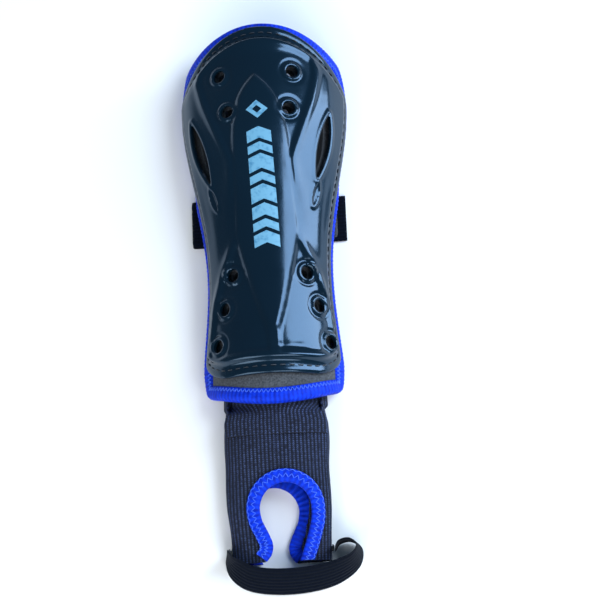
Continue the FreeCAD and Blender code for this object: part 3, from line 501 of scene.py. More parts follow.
COOL = (0.4, 0.6, 1.0, 1.0)


def shell_plastic():
    m = Nodes("shell_plastic", Metallic=0.0, IOR=1.52, Specular_Tint=(0.36, 0.64, 1.0, 1.0),
              Coat_Weight=0.14, Coat_Roughness=0.09, Coat_Tint=(0.75, 0.88, 1.0, 1.0))
    broad = m.noise(9.0, 2.0)
    m.colour(m.mix(broad, rgb(3, 12, 20), rgb(6, 26, 38)))
    haze = m.noise(45.0, 4.0)
    spread = m.add("ShaderNodeMapRange", {0: haze, 1: 0.35, 2: 0.75, 3: 0.13, 4: 0.24})
    m.put(m.shader.inputs["Roughness"], spread.outputs[0])
    stretch = m.add("ShaderNodeMapping", {"Vector": m.place(), "Scale": (1.0, 0.12, 1.0)}).outputs[0]
    m.relief(m.noise(900.0, 2.0, stretch), 0.00002, 0.35)
    m.relief(m.noise(60.0, 2.0), 0.00012, 0.30)
    return m.material


def cloth_material(name, dark, light, speck, rib=None, weave=0.0006, roughness=0.9, sheen=0.3, deep=0.0002):
    """Woven or brushed cloth: mottled threads, an optional rib and a fine weave."""
    m = Nodes(name, Roughness=roughness, Sheen_Weight=sheen, Sheen_Roughness=0.4)
    u, v = m.cloth()
    fine = m.noise(speck, 4.0, None, 0.7)
    fac = m.ramp(fine, 0.34, 0.68)
    warp = m.wave(u, weave)
    weft = m.wave(v, weave * 1.2)
    thread = m.math("MULTIPLY", warp, weft)
    fac = m.math("MULTIPLY_ADD", fac, 0.7, m.math("MULTIPLY", thread, 0.3))
    if rib:
        ribs = m.wave(u, rib)
        fac = m.math("MULTIPLY", fac, m.math("MULTIPLY_ADD", ribs, 0.5, 0.5))
        m.relief(ribs, deep * 1.5)
    m.colour(m.mix(fac, dark, light))
    m.relief(thread, deep)
    m.relief(fine, deep * 1.2, 0.6)
    return m.material


def binding_tape():
    """Stretch tape: bright, with fine cross ribs, and painted shade darkening the hollows between the
    stitches.
    """
    m = Nodes("binding_tape", Roughness=0.62, Specular_IOR_Level=0.3, Specular_Tint=COOL)
    u, v = m.cloth()
    pucker = m.wave(u, 0.0028)
    fine = m.wave(u, 0.00055)
    across = m.wave(v, 0.0007)
    mottled = m.ramp(m.noise(260.0, 3.0), 0.3, 0.7)
    # painted shade: the pucker wave darkens the colour in the hollows between stitches, where the relief is
    # low
    fac = m.math("MULTIPLY_ADD", pucker, 0.35, m.math("MULTIPLY", mottled, 0.45))
    fac = m.math("MULTIPLY_ADD", m.math("MULTIPLY", fine, across), 0.25, fac)
    m.colour(m.mix(fac, rgb(1, 18, 136), rgb(6, 62, 238)))
    m.relief(pucker, 0.00018, 0.8)
    m.relief(m.math("MULTIPLY", fine, across), 0.00010, 0.8)
    return m.material


def knit():
    """Rib knit: raised ribs of light-flecked loops, with painted shade darkening the grooves between them.
    """
    m = Nodes("rib_knit", Roughness=0.92, Specular_IOR_Level=0.3,
              Sheen_Weight=0.05, Sheen_Tint=(0.6, 0.75, 1.0, 1.0))
    u, v = m.cloth()
    pitch = 0.0029
    rib = m.wave(u, pitch, -math.pi / 2)
    # painted shade: 0 down the grooves between ribs, where the colour is darkest and no flecks show
    groove_shade = m.ramp(rib, 0.05, 0.55)
    zigzag = m.math("PINGPONG", u, pitch / 4)
    stray = m.noise(620.0, 3.0)
    slant = m.math("MULTIPLY_ADD", zigzag, 0.9, m.math("MULTIPLY_ADD", stray, 0.0011, v))
    loops = m.wave(slant, 0.0013)
    columns = m.math("MULTIPLY_ADD", m.wave(u, pitch / 2, math.pi / 2), 0.6, 0.4)
    stitch = m.math("MULTIPLY", loops, columns)
    fleck = m.ramp(m.math("MULTIPLY", stitch, m.ramp(stray, 0.25, 0.6)), 0.12, 0.62)
    # painted shade: random blotches some 25 mm across dim the flecks, standing in for the shade of soft
    # folds
    wear_and_fold_shade = m.ramp(m.noise(42.0, 3.0), 0.30, 0.70)
    fac = m.math("MULTIPLY", m.math("MULTIPLY", fleck, groove_shade), m.math("MULTIPLY_ADD", wear_and_fold_shade, 0.4, 0.55))
    base = m.mix(groove_shade, rgb(5, 8, 18), rgb(18, 25, 46))
    m.colour(m.mix(fac, base, rgb(70, 86, 128)))
    m.relief(rib, 0.0004, 0.9)
    m.relief(stitch, 0.0002, 0.8)
    return m.material


def elastic():
    """Woven elastic: black, with lengthwise ribs."""
    m = Nodes("ribbed_elastic", Roughness=0.75, Specular_IOR_Level=0.12,
              Specular_Tint=COOL, Sheen_Weight=0.02)
    u, v = m.cloth()
    rib = m.wave(v, 0.0023)
    picks = m.wave(u, 0.0009)
    mottled = m.ramp(m.noise(420.0, 3.0), 0.3, 0.7)
    fac = m.math("MULTIPLY", m.math("MULTIPLY_ADD", picks, 0.4, 0.35), m.math("MULTIPLY_ADD", rib, 0.6, 0.3))
    fac = m.math("MULTIPLY", fac, m.math("MULTIPLY_ADD", mottled, 0.6, 0.5))
    m.colour(m.mix(fac, rgb(1, 2, 5), rgb(9, 15, 31)))
    m.relief(picks, 0.00012, 0.7)
    m.relief(rib, 0.0003, 0.8)
    return m.material


def foam():
    m = Nodes("closed_cell_foam", Roughness=0.85)
    cells = m.add("ShaderNodeTexVoronoi", {"Vector": m.place(), "Scale": 1500.0}).outputs["Distance"]
    m.colour(m.mix(cells, rgb(22, 24, 28), rgb(52, 56, 62)))
    m.relief(cells, 0.0002, 0.8)
    return m.material


def thread(name, dark, light, shine=0.45):
    m = Nodes(name, Roughness=shine)
    inputs = {"Vector": m.place(), "Scale": 900.0, "Distortion": 1.5}
    twist = m.add("ShaderNodeTexWave", inputs).outputs["Fac"]
    m.colour(m.mix(twist, dark, light))
    m.relief(twist, 0.00008, 0.7)
    return m.material


def fastener(name, dark, light, scale, depth):
    """Hook or loop tape: rows of tiny tufts."""
    m = Nodes(name, Roughness=0.75, Sheen_Weight=0.4)
    tufts = m.add("ShaderNodeTexVoronoi", {"Vector": m.place(), "Scale": scale}).outputs["Distance"]
    fuzz = m.noise(scale * 1.7, 4.0)
    m.colour(m.mix(m.math("MULTIPLY", tufts, fuzz), dark, light))
    m.relief(tufts, depth, 1.0)
    m.relief(fuzz, depth / 2, 0.8)
    return m.material


def print_ink():
    m = Nodes("print_ink", Roughness=0.38)
    # in the print these blotches are wear of the ink
    wear_and_fold_shade = m.ramp(m.noise(330.0, 5.0), 0.32, 0.5)
    m.colour(m.mix(wear_and_fold_shade, rgb(70, 128, 164), rgb(104, 160, 190)))
    m.relief(m.noise(500.0, 2.0), 0.00004, 0.5)
    return m.material


SHELL = shell_plastic()
FACING = cloth_material("grey_facing", rgb(26, 30, 36), rgb(92, 98, 106), 900.0, sheen=0.12)
LINING = cloth_material("brushed_lining", rgb(24, 31, 36), rgb(58, 68, 74), 520.0, rib=0.0017, deep=0.00012)
BINDING = binding_tape()
KNIT = knit()
ELASTIC = elastic()
FOAM = foam()
DARK_THREAD = thread("dark_thread", rgb(8, 10, 14), rgb(40, 48, 60))
BLUE_THREAD = thread("blue_thread", rgb(20, 60, 210), rgb(86, 140, 255))
HOOKS = fastener("hook_tape", rgb(10, 12, 15), rgb(70, 76, 84), 1500.0, 0.0003)
LOOPS = fastener("loop_tape", rgb(16, 18, 22), rgb(60, 64, 72), 800.0, 0.0005)
INK = print_ink()


# ---- shell

def spine_half(y):
    """Half width of the raised panel down the middle of the shell."""
    places = [-24, -8, 10, 24, 37, 60, 84, 100, 115, 126, 133, 138, 146]
    widths = [1.5, 6.0, 10.0, 13.5, 16.4, 15.4, 14.8, 14.2, 12.4, 9.0, 5.0, 1.0, -7.0]
    return np.interp(y, places, widths)


def crest_line(y):
    """Distance from the spine of the long crest outside the vents."""
    places = [-44, -28, -8, 14, 28, 37, 60, 84, 104, 124, 142, 158, 168]
    spots = [44.0, 41.5, 36.5, 27.5, 21.0, 17.6, 19.0, 17.6, 25.0, 32.5, 37.0, 35.0, 30.0]
    return np.interp(y, places, spots)


def eased(function, y):
    return (function(y - 4) + 2 * function(y) + function(y + 4)) / 4


def shell_height(s, y, edge=None):
    """How far the shell's front stands off the pad's front face."""
    edge = shell_edge(s, y) if edge is None else edge
    p = form.point(s, y, 6.0)
    across = np.abs(s - lean(y))
    spine = eased(spine_half, y)
    crest = eased(crest_line, y)
    h = 3.1 + 3.3 * smooth((edge - 6.6) / 3.4)
    on_dome = smooth((edge - 9.5) / 5)
    h += 0.95 * smooth((spine - across) / 2.6 + 0.5) * smooth((y + 26) / 6) * on_dome
    reach = smooth((y - 52) / 26) * smooth((172 - y) / 16) + smooth((46 - y) / 22) * smooth((y + 42) / 8)
    h += 1.0 * bump((across - crest) / 2.6) * np.clip(reach, 0, 1) * on_dome
    upper = smooth((y - 80) / 6) * smooth((163 - y) / 10)
    lower = smooth((40 - y) / 6) * smooth((y + 40) / 6)
    hollow = smooth((across - spine - 0.6) / 2.2) * smooth((crest - 1.4 - across) / 2.2)
    h -= 1.15 * hollow * np.clip(upper + lower, 0, 1) * on_dome
    wing = smooth((across - crest - 2.0) / 6)
    h -= 0.5 * wing * bump((y - 62) / 30) * on_dome
    h += 0.35 * bump((across - 44) / 5) * smooth((y - 70) / 20) * on_dome
    h -= 0.45 * bump((y + 33) / 2.4) * smooth((22 - across) / 8) * on_dome
    vent = vent_gap(p)
    h += 0.75 * bump((vent - 1.1) / 1.0) - 0.5 * bump((vent - 3.4) / 1.3)
    slot = slot_gap(p)
    h += 0.65 * bump((slot - 1.1) / 1.1) * on_dome
    almond = slot_gap(p, 71.0, 55.0, 2.0, (-4.5, -8.5))
    h += 0.5 * bump((almond - 0.6) / 0.8) - 0.7 * smooth((0.2 - almond) / 1.2)
    h -= 0.25 * bump((edge - 4.4) / 0.9)
    h -= 0.7 * (1 - smooth(edge / 1.1)) ** 2
    return h


def make_shell():
    step = 0.85

    def gap(s, y):
        p = form.point(s, y, 6.0)
        return np.minimum(np.minimum(shell_edge(s, y), vent_gap(p)), slot_gap(p))

    s, y, quads = trimmed_grid(np.arange(-72, 72, step), np.arange(-52, 177, step), gap)
    edge = shell_edge(s, y)
    h = shell_height(s, y, edge)
    top = form.point(s, y, h)
    under = form.point(s, y, np.maximum(h - 2.1, 1.15))
    uv = np.stack([s, y], 1)
    obj = thick_sheet("moulded_shell", top, under, quads, uv, SHELL, flip=True, smooth_angle=50)
    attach(obj, "guard")
    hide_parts("shell")


def surface_patch(name, pieces, off, material, step=1.2):
    """Thin patches lying on the shell. Each piece is a corner-to-corner strip of four (s, y) points."""
    points, faces, uv = [], [], []
    for corners in pieces:
        a, b, c, d = (np.array(k, float) for k in corners)
        nu = max(2, int(np.linalg.norm(b - a) / step) + 1)
        nv = max(2, int(np.linalg.norm(d - a) / step) + 1)
        base = len(points)
        for i in range(nu):
            for j in range(nv):
                u, v = i / (nu - 1), j / (nv - 1)
                s, y = (a * (1 - u) + b * u) * (1 - v) + (d * (1 - u) + c * u) * v
                s, y = np.array(s + lean(y)), np.array(y)
                points.append(form.point(s, y, shell_height(s, y) + off))
                uv.append((s, y))
        faces += (base + grid_quads(nu, nv)).tolist()
    return make_object(name, points, faces, np.array(uv, float), material)


def make_print():
    """Generic marks down the spine: a column of chevrons under a plain lozenge."""
    half, drop, gap, lozenge_y = 6.6, 3.2, 2.4, 115.5
    pieces = []
    y = 104.0
    for tall in (7.5, 5.0, 9.5, 5.0, 9.5, 7.5, 5.0, 7.5):
        pieces.append([(0, y), (-half, y - drop), (-half, y - drop - tall), (0, y - tall)])
        pieces.append([(half, y - drop), (0, y), (0, y - tall), (half, y - drop - tall)])
        y -= tall + gap
    ring, hole = ([(0, r), (r, 0), (0, -r), (-r, 0)] for r in (6.0, 2.6))
    for k in range(4):
        n = (k + 1) % 4
        corners = [ring[k], ring[n], hole[n], hole[k]]
        pieces.append([(a, lozenge_y + b) for a, b in corners][::-1])
    obj = surface_patch("spine_marks", pieces, 0.07, INK)
    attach(obj, "guard")


def offset_line(line, distance, count):
    """A closed (s, y) outline moved inwards and resampled evenly."""
    along = unit(np.roll(line, -1, 0) - np.roll(line, 1, 0))
    inwards = np.stack([along[:, 1], -along[:, 0]], 1)
    middle = line.mean(0)
    if ((middle - line) * inwards).sum() < 0:
        inwards = -inwards
    return even(rounded(line + inwards * distance, 6), count, closed=True)


def make_shell_stitches():
    """Dark stitches sunk in the flange, all round it."""
    inset, pitch, stitch, places = 4.4, 5.2, 3.4, 2000
    path = offset_line(shell_line, inset, places)
    total = length_of(path, True)
    count = int(total / pitch)
    lines = []
    for k in range(count):
        start = k / count
        stops = (np.linspace(start, start + stitch / total, 7) * places % places).astype(int)
        s, y = path[stops, 0], path[stops, 1]
        rise = 3.02 + 0.28 * np.sin(np.linspace(0, math.pi, 7))
        rise[[0, -1]] = 2.6
        lines.append(form.point(s, y, rise))
    obj = tubes("shell_thread", lines, 0.36, DARK_THREAD)
    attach(obj, "guard")
    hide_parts("shell_stitching")


# ---- pad and its binding

def flare(y, edge):
    """How far the pad's edge turns outwards, where its sides are drawn in above the ankle."""
    return (0.6 + 2.2 * smooth((84 - y) / 22) * smooth((y + 62) / 26)) * smooth((9.5 - edge) / 9.5)


PAD_THICK = 6.8


def make_pad():
    """Facing, foam and lining, each cut to the same outline with its vents and slots."""
    step = 1.5

    def gap(s, y):
        p = form.point(s, y, 0.0)
        return np.minimum(np.minimum(guard_edge(s, y) - 1.4, vent_gap(p) + 0.35), slot_gap(p) + 0.5)

    s, y, quads = trimmed_grid(np.arange(-73, 73, step), np.arange(-68, 179, step), gap)
    p = form.point(s, y, 0.0)
    edge = guard_edge(s, y)
    hole = np.minimum(vent_gap(p), slot_gap(p))
    wave = 0.14 * np.sin(s / 7.3 + 1.1) * np.sin(y / 9.1) + 0.10 * np.sin(s / 3.9 - y / 6.2)
    pinch = 0.35 * np.exp(-np.maximum(hole + 0.3, 0) / 1.6)
    free = smooth((edge - 6) / 10)
    turned = flare(y, edge)
    pressed = 0.5 * (1 - smooth((edge - 7) / 3))
    front = turned + wave * free * 0.7 - pinch * 0.3 - pressed
    back = turned - PAD_THICK + wave * free * 1.3 + pinch + pressed
    uv = np.stack([s, y], 1)
    layers = (
        ("facing_cloth", "outer_facing", FACING, "facing", front, front - 0.7),
        ("foam_core", "foam_pad", FOAM, "foam", front - 0.75, back + 0.75),
        ("lining_cloth", "lining", LINING, "lining", back + 0.7, back),
    )
    for name, node, material, slot, outer, inner in layers:
        skins = form.point(s, y, outer), form.point(s, y, inner)
        obj = thick_sheet(name, *skins, quads, uv, material, flip=True)
        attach(obj, "guard")
        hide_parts(node)


STITCH_PITCH = 2.8


def zigzags(points):
    """A row of cover stitches, four steps to each."""
    return [points[i:i + 5] for i in range(0, len(points) - 4, 4)]


def make_binding():
    """The tape wrapped over the pad's edge, and the cover stitch along both its inner edges."""
    count = 560
    line = even(guard_line, count, closed=True)
    inwards = offset_direction(line)
    total = length_of(line, True)
    # (distance in from the edge, distance out from the pad's front face)
    profile = np.array([
        (8.7, -0.15), (8.2, 0.62), (7.0, 0.72), (5.2, 1.06), (3.0, 1.12), (1.4, 0.62), (0.4, -0.7),
        (0.0, -2.3), (-0.05, -4.0), (0.3, -5.8), (1.2, -7.1), (3.0, -7.9), (5.2, -7.95), (7.0, -7.5),
        (8.2, -7.4), (8.7, -6.7), (7.6, -6.5), (4.5, -6.2), (2.2, -5.0), (2.2, -2.2), (4.5, -0.9),
        (7.6, -0.4),
    ])
    t = np.arange(count) / count * total
    outer_skin = np.arange(len(profile)) < 15
    swell = np.where((profile[:, 0] > 1) & (profile[:, 0] < 8) & outer_skin, 1.0, 0.0)
    side = np.sign(profile[:, 1] + 3.4)
    rings, uv = [], []
    for k in range(count):
        pucker = 0.16 * math.sin(2 * math.pi * t[k] / STITCH_PITCH) + 0.10 * math.sin(t[k] / 11.0)
        at = line[k] + inwards[k] * profile[:, :1]
        out = profile[:, 1] + flare(at[:, 1], profile[:, 0]) + side * pucker * swell
        rings.append(form.point(at[:, 0], at[:, 1], out))
        uv += [(t[k], j * 1.6) for j in range(len(profile))]
    tape = swept("binding_tape", rings, BINDING, np.array(uv), closed_path=True, smooth_angle=80)
    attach(tape, "guard")
    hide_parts("edge_binding")
    lines = []
    loops = int(total / STITCH_PITCH)
    fine = even(guard_line, loops * 4, closed=True)
    inner = offset_direction(fine)
    for level, side in ((0.95, 1), (-7.75, -1)):
        depth = np.tile((5.6, 6.6, 7.9, 6.6), loops)
        at = fine + inner * depth[:, None]
        lift = np.tile((0.05, 0.22, -0.05, 0.22), loops)
        off = level + side * (lift - 0.22 * smooth((depth - 6.4) / 1.6))
        lines += zigzags(form.point(at[:, 0], at[:, 1], off + flare(at[:, 1], depth)))
    thread_obj = tubes("binding_thread", lines, 0.26, BLUE_THREAD, sides=5)
    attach(thread_obj, "guard")


def offset_direction(line):
    along = unit(np.roll(line, -2, 0) - np.roll(line, 2, 0))
    inwards = np.stack([along[:, 1], -along[:, 0]], 1)
    if ((np.array(MIDDLE) - line) * inwards).sum() < 0:
        inwards = -inwards
    for _ in range(6):
        inwards = unit(np.roll(inwards, 1, 0) + 2 * inwards + np.roll(inwards, -1, 0))
    return inwards


# ---- straps

def ribbon(name, middles, across, through, width, thick, ribs, material, depth=0.12):
    """A strap swept along middles; across and through are unit directions at each of them."""
    count = ribs * 6 + 1
    w = np.linspace(-1, 1, count)
    ridges = np.cos(np.linspace(-ribs, ribs, count) * math.pi)
    face = thick / 2 * (1 - np.abs(w) ** 14) + depth * (ridges - 1) / 2
    face = np.maximum(face, 0.06)
    length = np.concatenate([[0], np.cumsum(np.linalg.norm(np.diff(middles, axis=0), axis=1))])
    rings, uv = [], []
    for k, m in enumerate(middles):
        end = min(length[k], length[-1] - length[k])
        half = width / 2
        flat = smooth(np.array(0.35 + end / 1.2))
        upper = m + across[k] * (w[:, None] * half) + through[k] * (face * flat)[:, None]
        lower = m + across[k] * (w[::-1, None] * half) - through[k] * (face[::-1] * flat)[:, None]
        rings.append(np.vstack([upper, lower]))
        uv += [(length[k], x * width / 2) for x in (*w, *w[::-1])]
    return swept(name, rings, material, np.array(uv), smooth_angle=60)


def make_calf_strap():
    """One elastic: sewn up the inside of the left wing, turned under its edge, then free."""
    y = 58.0
    r = float(form.radius(y))
    zc = float(form.centre(y))
    reach = r - 8.7
    up = [(reach * math.sin(a), reach * math.cos(a) + zc) for a in np.radians(np.linspace(-36, -71, 16))]
    anchor = [p for p in up if p[1] > 5.0]
    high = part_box("calf_strap")[1] / MM
    flat_z = 0.65
    path = anchor + [(-36.5, 4.1), (-40.0, 3.85), (-43.5, 3.85), (-46.2, 3.8), (-47.5, 3.1), (-47.75, 2.25),
                     (-47.4, 1.4), (-46.2, 0.75), (-43.0, flat_z), (-30.0, flat_z), (-10.0, flat_z),
                     (10.0, flat_z), (30.0, flat_z), (float(high.x) - 0.3, flat_z)]
    line = spline([(x, y, z) for x, z in path], 150)
    line[:, 2] = np.maximum(line[:, 2], flat_z)
    along = unit(np.gradient(line, axis=0))
    across = np.tile([0, 1.0, 0], (len(line), 1))
    through = unit(np.cross(along, across))
    obj = ribbon("calf_elastic", line, across, through, 30.0, 1.15, 13, ELASTIC)
    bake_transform(obj)
    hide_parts("calf_strap", "strap_anchor")
    lines = []
    for a in np.radians([-44.0, -50.0]):
        for k in range(9):
            t = np.linspace(-1.1, 1.1, 6)
            yy = y - 12.4 + 3.1 * k + t
            off = r - 9.35 - 0.22 * np.cos(t / 1.1 * math.pi / 2)
            lines.append(np.stack([off * math.sin(a) + 0 * yy, yy, off * math.cos(a) + zc], 1))
    obj = tubes("anchor_thread", lines, 0.22, DARK_THREAD)
    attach(obj, "guard")
    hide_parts("anchor_stitching")


def patch(name, node, body, place, material, thick, tuft):
    """A rounded patch of fastener; place(u, v, off) gives its surface, u and v from -1 to 1."""
    low, high = (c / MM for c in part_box(node))
    nu, nv = 40, 42
    u, v = np.meshgrid(np.linspace(-1, 1, nu), np.linspace(-1, 1, nv), indexing="ij")
    squeeze = 1 - 0.25 * np.clip(np.abs(u) * np.abs(v) - 0.72, 0, 1)
    u, v = (u * squeeze).ravel(), (v * squeeze).ravel()
    rim = np.minimum(1, np.minimum(1 - np.abs(u), 1 - np.abs(v)) * 9 + 0.25)
    fuzz = tuft * rng.random(len(u)) * rim
    top = place(u, v, thick * rim + fuzz, low, high)
    under = place(u, v, 0 * u, low, high)
    quads = grid_quads(nu, nv)
    size = np.stack([u * 12, v * 13], 1)
    obj = thick_sheet(name, top, under, quads, size, material)
    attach(obj, body)
    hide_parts(node)
    return obj


def make_fasteners():
    def hooks(u, v, off, low, high):
        x = (low.x + high.x) / 2 + u * (high.x - low.x) / 2
        y = (low.y + high.y) / 2 + v * (high.y - low.y) / 2
        return np.stack([x, y, low.z - 0.05 + off], 1)

    def loops(u, v, off, low, high):
        y = (low.y + high.y) / 2 + v * (high.y - low.y) / 2
        r, zc = form.radius(y), form.centre(y)
        start = np.arctan2(low.x, high.z - zc)
        end = np.arctan2(high.x, low.z - zc)
        a = (start + end) / 2 + u * (end - start) / 2
        reach = r - 6.75 - off
        return np.stack([reach * np.sin(a), y, zc + reach * np.cos(a)], 1)

    patch("hook_patch_tape", "hook_patch", "calf_strap", hooks, HOOKS, 0.9, 0.35)
    patch("loop_patch_tape", "loop_patch", "guard", loops, LOOPS, 0.8, 0.5).data.flip_normals()


# ---- ankle sleeve

BASE = 1.0
RIM_Y, SEAM_Y, TIP_Y, FRONT_Y = -38.0, -75.0, -158.5, -71.0
ARCH_R, ARCH_TOP, ARCH_SHIFT = 15.5, -112.0, 4.0


def tube_size(y):
    """Half width and height of the sleeve."""
    places = [TIP_Y, -140, -110, SEAM_Y, -60, RIM_Y]
    half = np.interp(y, places, [30.6, 31.6, 32.8, 32.6, 28.6, 23.6])
    tall = np.interp(y, places, [11.0, 13.4, 17.6, 22.4, 22.9, 22.9])
    return half, tall


POWER = 2.7  # of the superellipse; 2 would be an ellipse
SQUARE = 2 / POWER


def section(a, half, tall):
    """A point of the sleeve's flattened section, from its own centre."""
    c, s = np.cos(a), np.sin(a)
    return half * np.sign(s) * np.abs(s) ** SQUARE, tall / 2 * np.sign(c) * np.abs(c) ** SQUARE


ANGLES = np.linspace(-2 * math.pi, 4 * math.pi, 6001)
LENGTHS = np.concatenate([[0], np.cumsum(np.hypot(*(np.diff(c) for c in section(ANGLES, 32.0, 18.0))))])
LENGTHS = LENGTHS / LENGTHS[-1] * 3 - 1


def tube_point(turn, y, inwards=0.0):
    """A place on the sleeve; turn is 0 at the front's middle, positive to the right, 0.5 at the rear."""
    half, tall = tube_size(y)
    a = np.interp(turn, LENGTHS, ANGLES)
    x, z = section(a, half, tall)
    c, s = np.cos(a), np.sin(a)
    nx = np.sign(s) * np.abs(s) ** (2 - SQUARE) / half
    nz = np.sign(c) * np.abs(c) ** (2 - SQUARE) / (tall / 2)
    size = np.hypot(nx, nz)
    z = z + BASE + tall / 2
    return np.stack([x - inwards * nx / size, y + 0 * x, z - inwards * nz / size], -1)


def arch_path(sign):
    """The edge of the front (sign 1) or rear (sign -1) ankle opening, as (x, y), left tip first."""
    cy = ARCH_TOP - ARCH_R
    legs = [cy, -134, -141, -148, -154, TIP_Y + 0.2]
    near = [15.5, 14.4, 11.2, 8.6, 9.4, 12.6]
    far = [15.5, 15.2, 13.4, 11.2, 9.0, 7.4]
    turns = np.linspace(-math.pi / 2, math.pi / 2, 13)[1:-1]
    path = [(-x, y) for x, y in zip(near, legs)][::-1]
    path += [(ARCH_R * math.sin(a), cy + ARCH_R * math.cos(a)) for a in turns]
    path += list(zip(far, legs))
    path = np.array(path)
    if sign < 0:
        path = path[::-1] * (-1, 1)
    return spline(path + (sign * ARCH_SHIFT, 0), 200)


def closed_arch(sign):
    path = arch_path(sign)
    return np.vstack([path, [(path[-1, 0], TIP_Y - 12), (path[0, 0], TIP_Y - 12)]])


front_arch = inside_distance(closed_arch(1)[::2])
rear_arch = inside_distance(closed_arch(-1)[::2])


def sleeve_gap(p):
    """Distance of points on the sleeve outside everything cut from it."""
    x, y, z = p[..., 0], p[..., 1], p[..., 2]
    top, foot, back = 20.0, 3.4, 4.0
    rise = math.hypot(top - foot, RIM_Y - back - FRONT_Y)
    mouth = ((RIM_Y - back - FRONT_Y) * (top - z) - (y - FRONT_Y) * (top - foot)) / rise
    mouth = np.where(z > top, FRONT_Y - y, mouth)
    mouth = np.where(z < 3.2, RIM_Y - y, mouth)
    ring = form.radius(y) - 10.4 - np.hypot(x, z - form.centre(y))
    below = np.hypot(x, y + 6.5) - 61.3
    arch = -np.where(z > BASE + 6.2, front_arch(x, y), rear_arch(x, y)) - 1.0
    arch = np.where(np.abs(x) > 27, 9.0, arch)
    return np.minimum(np.minimum(mouth, np.maximum(ring, below)), arch)


def folds(turn, y):
    """Soft hollows of the knit, in waves round and along the sleeve."""
    a = 2 * math.pi * turn
    f = 0.8 * np.sin(3 * a + y / 12.0) + 0.5 * np.sin(5 * a - y / 15.0 + 1.3)
    f += 0.5 * np.sin(y / 6.0 + 2.0 * np.cos(a))
    return 0.75 * (f + 1.4)


RIBS, RIB_PITCH = 63, 2.9  # ribs round the sleeve, and their pitch in the material


def make_sleeve():
    """The knitted tube, with ribs along it."""
    around = 336
    scale = 185.0  # millimetres to a turn, only to weigh the two directions while the edge is moved
    turns = np.arange(around) / around
    ys = np.arange(TIP_Y, RIM_Y + 0.1, 1.15)

    def gap(t, y):
        return sleeve_gap(tube_point(t, y))

    wrap = np.concatenate([turns, [1.0]])
    pu, pv, quads = trimmed_grid(wrap, ys, gap, snap=0)
    g = gap(pu, pv)
    for _ in range(4):
        out = g < 0
        a, b = pu[out], pv[out]
        du = (gap(a + 2e-4, b) - g[out]) / 2e-4
        dv = (gap(a, b + 0.05) - g[out]) / 0.05
        size = np.maximum((du / scale) ** 2 + dv**2, 0.25)
        pu[out] = a - g[out] * du / scale**2 / size
        pv[out] = b - g[out] * dv / size
        g = gap(pu, pv)
    pv = np.clip(pv, TIP_Y, RIM_Y)
    first = np.where(np.abs(pu) < 1e-9)[0]
    last = np.where(np.abs(pu - 1) < 1e-9)[0]
    join = {}
    for i in last:
        near = first[np.argmin(np.abs(pv[first] - pv[i]))] if len(first) else i
        if abs(pv[near] - pv[i]) < 0.4:
            join[i] = near
    quads = np.array([[join.get(k, k) for k in q] for q in quads])
    rib = np.cos(2 * math.pi * pu * RIBS)
    ease = smooth((g + 0.2) / 2.0)
    depth = 0.12 + 0.22 * (1 - rib) / 2 * ease + folds(pu, pv) * smooth(g / 8)
    top = tube_point(pu, pv, depth)
    under = tube_point(pu, pv, depth + 1.25)
    uv = np.stack([pu * RIBS * RIB_PITCH, pv], 1)
    obj = thick_sheet("sleeve_knit", top, under, quads, uv, KNIT, smooth_angle=75)
    clean(obj)
    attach(obj, "ankle_sleeve")
    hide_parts("ankle_sleeve")


def clean(obj):
    """Outward faces, merged doubles, no loose points."""
    bm = bmesh.new()
    bm.from_mesh(obj.data)
    bmesh.ops.remove_doubles(bm, verts=bm.verts, dist=1e-6)
    bmesh.ops.recalc_face_normals(bm, faces=bm.faces)
    loose = [v for v in bm.verts if not v.link_faces]
    bmesh.ops.delete(bm, geom=loose, context="VERTS")
    bm.to_mesh(obj.data)
    bm.free()
    return obj


def tube_turn(x, y, front):
    """The turn at which the sleeve's front or rear panel stands at x."""
    half = tube_size(y)[0]
    s = np.clip(np.abs(x) / half, 0, 0.999) ** (POWER / 2) * np.sign(x)
    a = np.arcsin(s)
    return np.interp(a if front else math.pi - a, ANGLES, LENGTHS)


def left_of(line):
    """Unit directions to the left of an open (x, y) line."""
    along = unit(np.gradient(line, axis=0))
    return np.stack([-along[:, 1], along[:, 0]], 1)


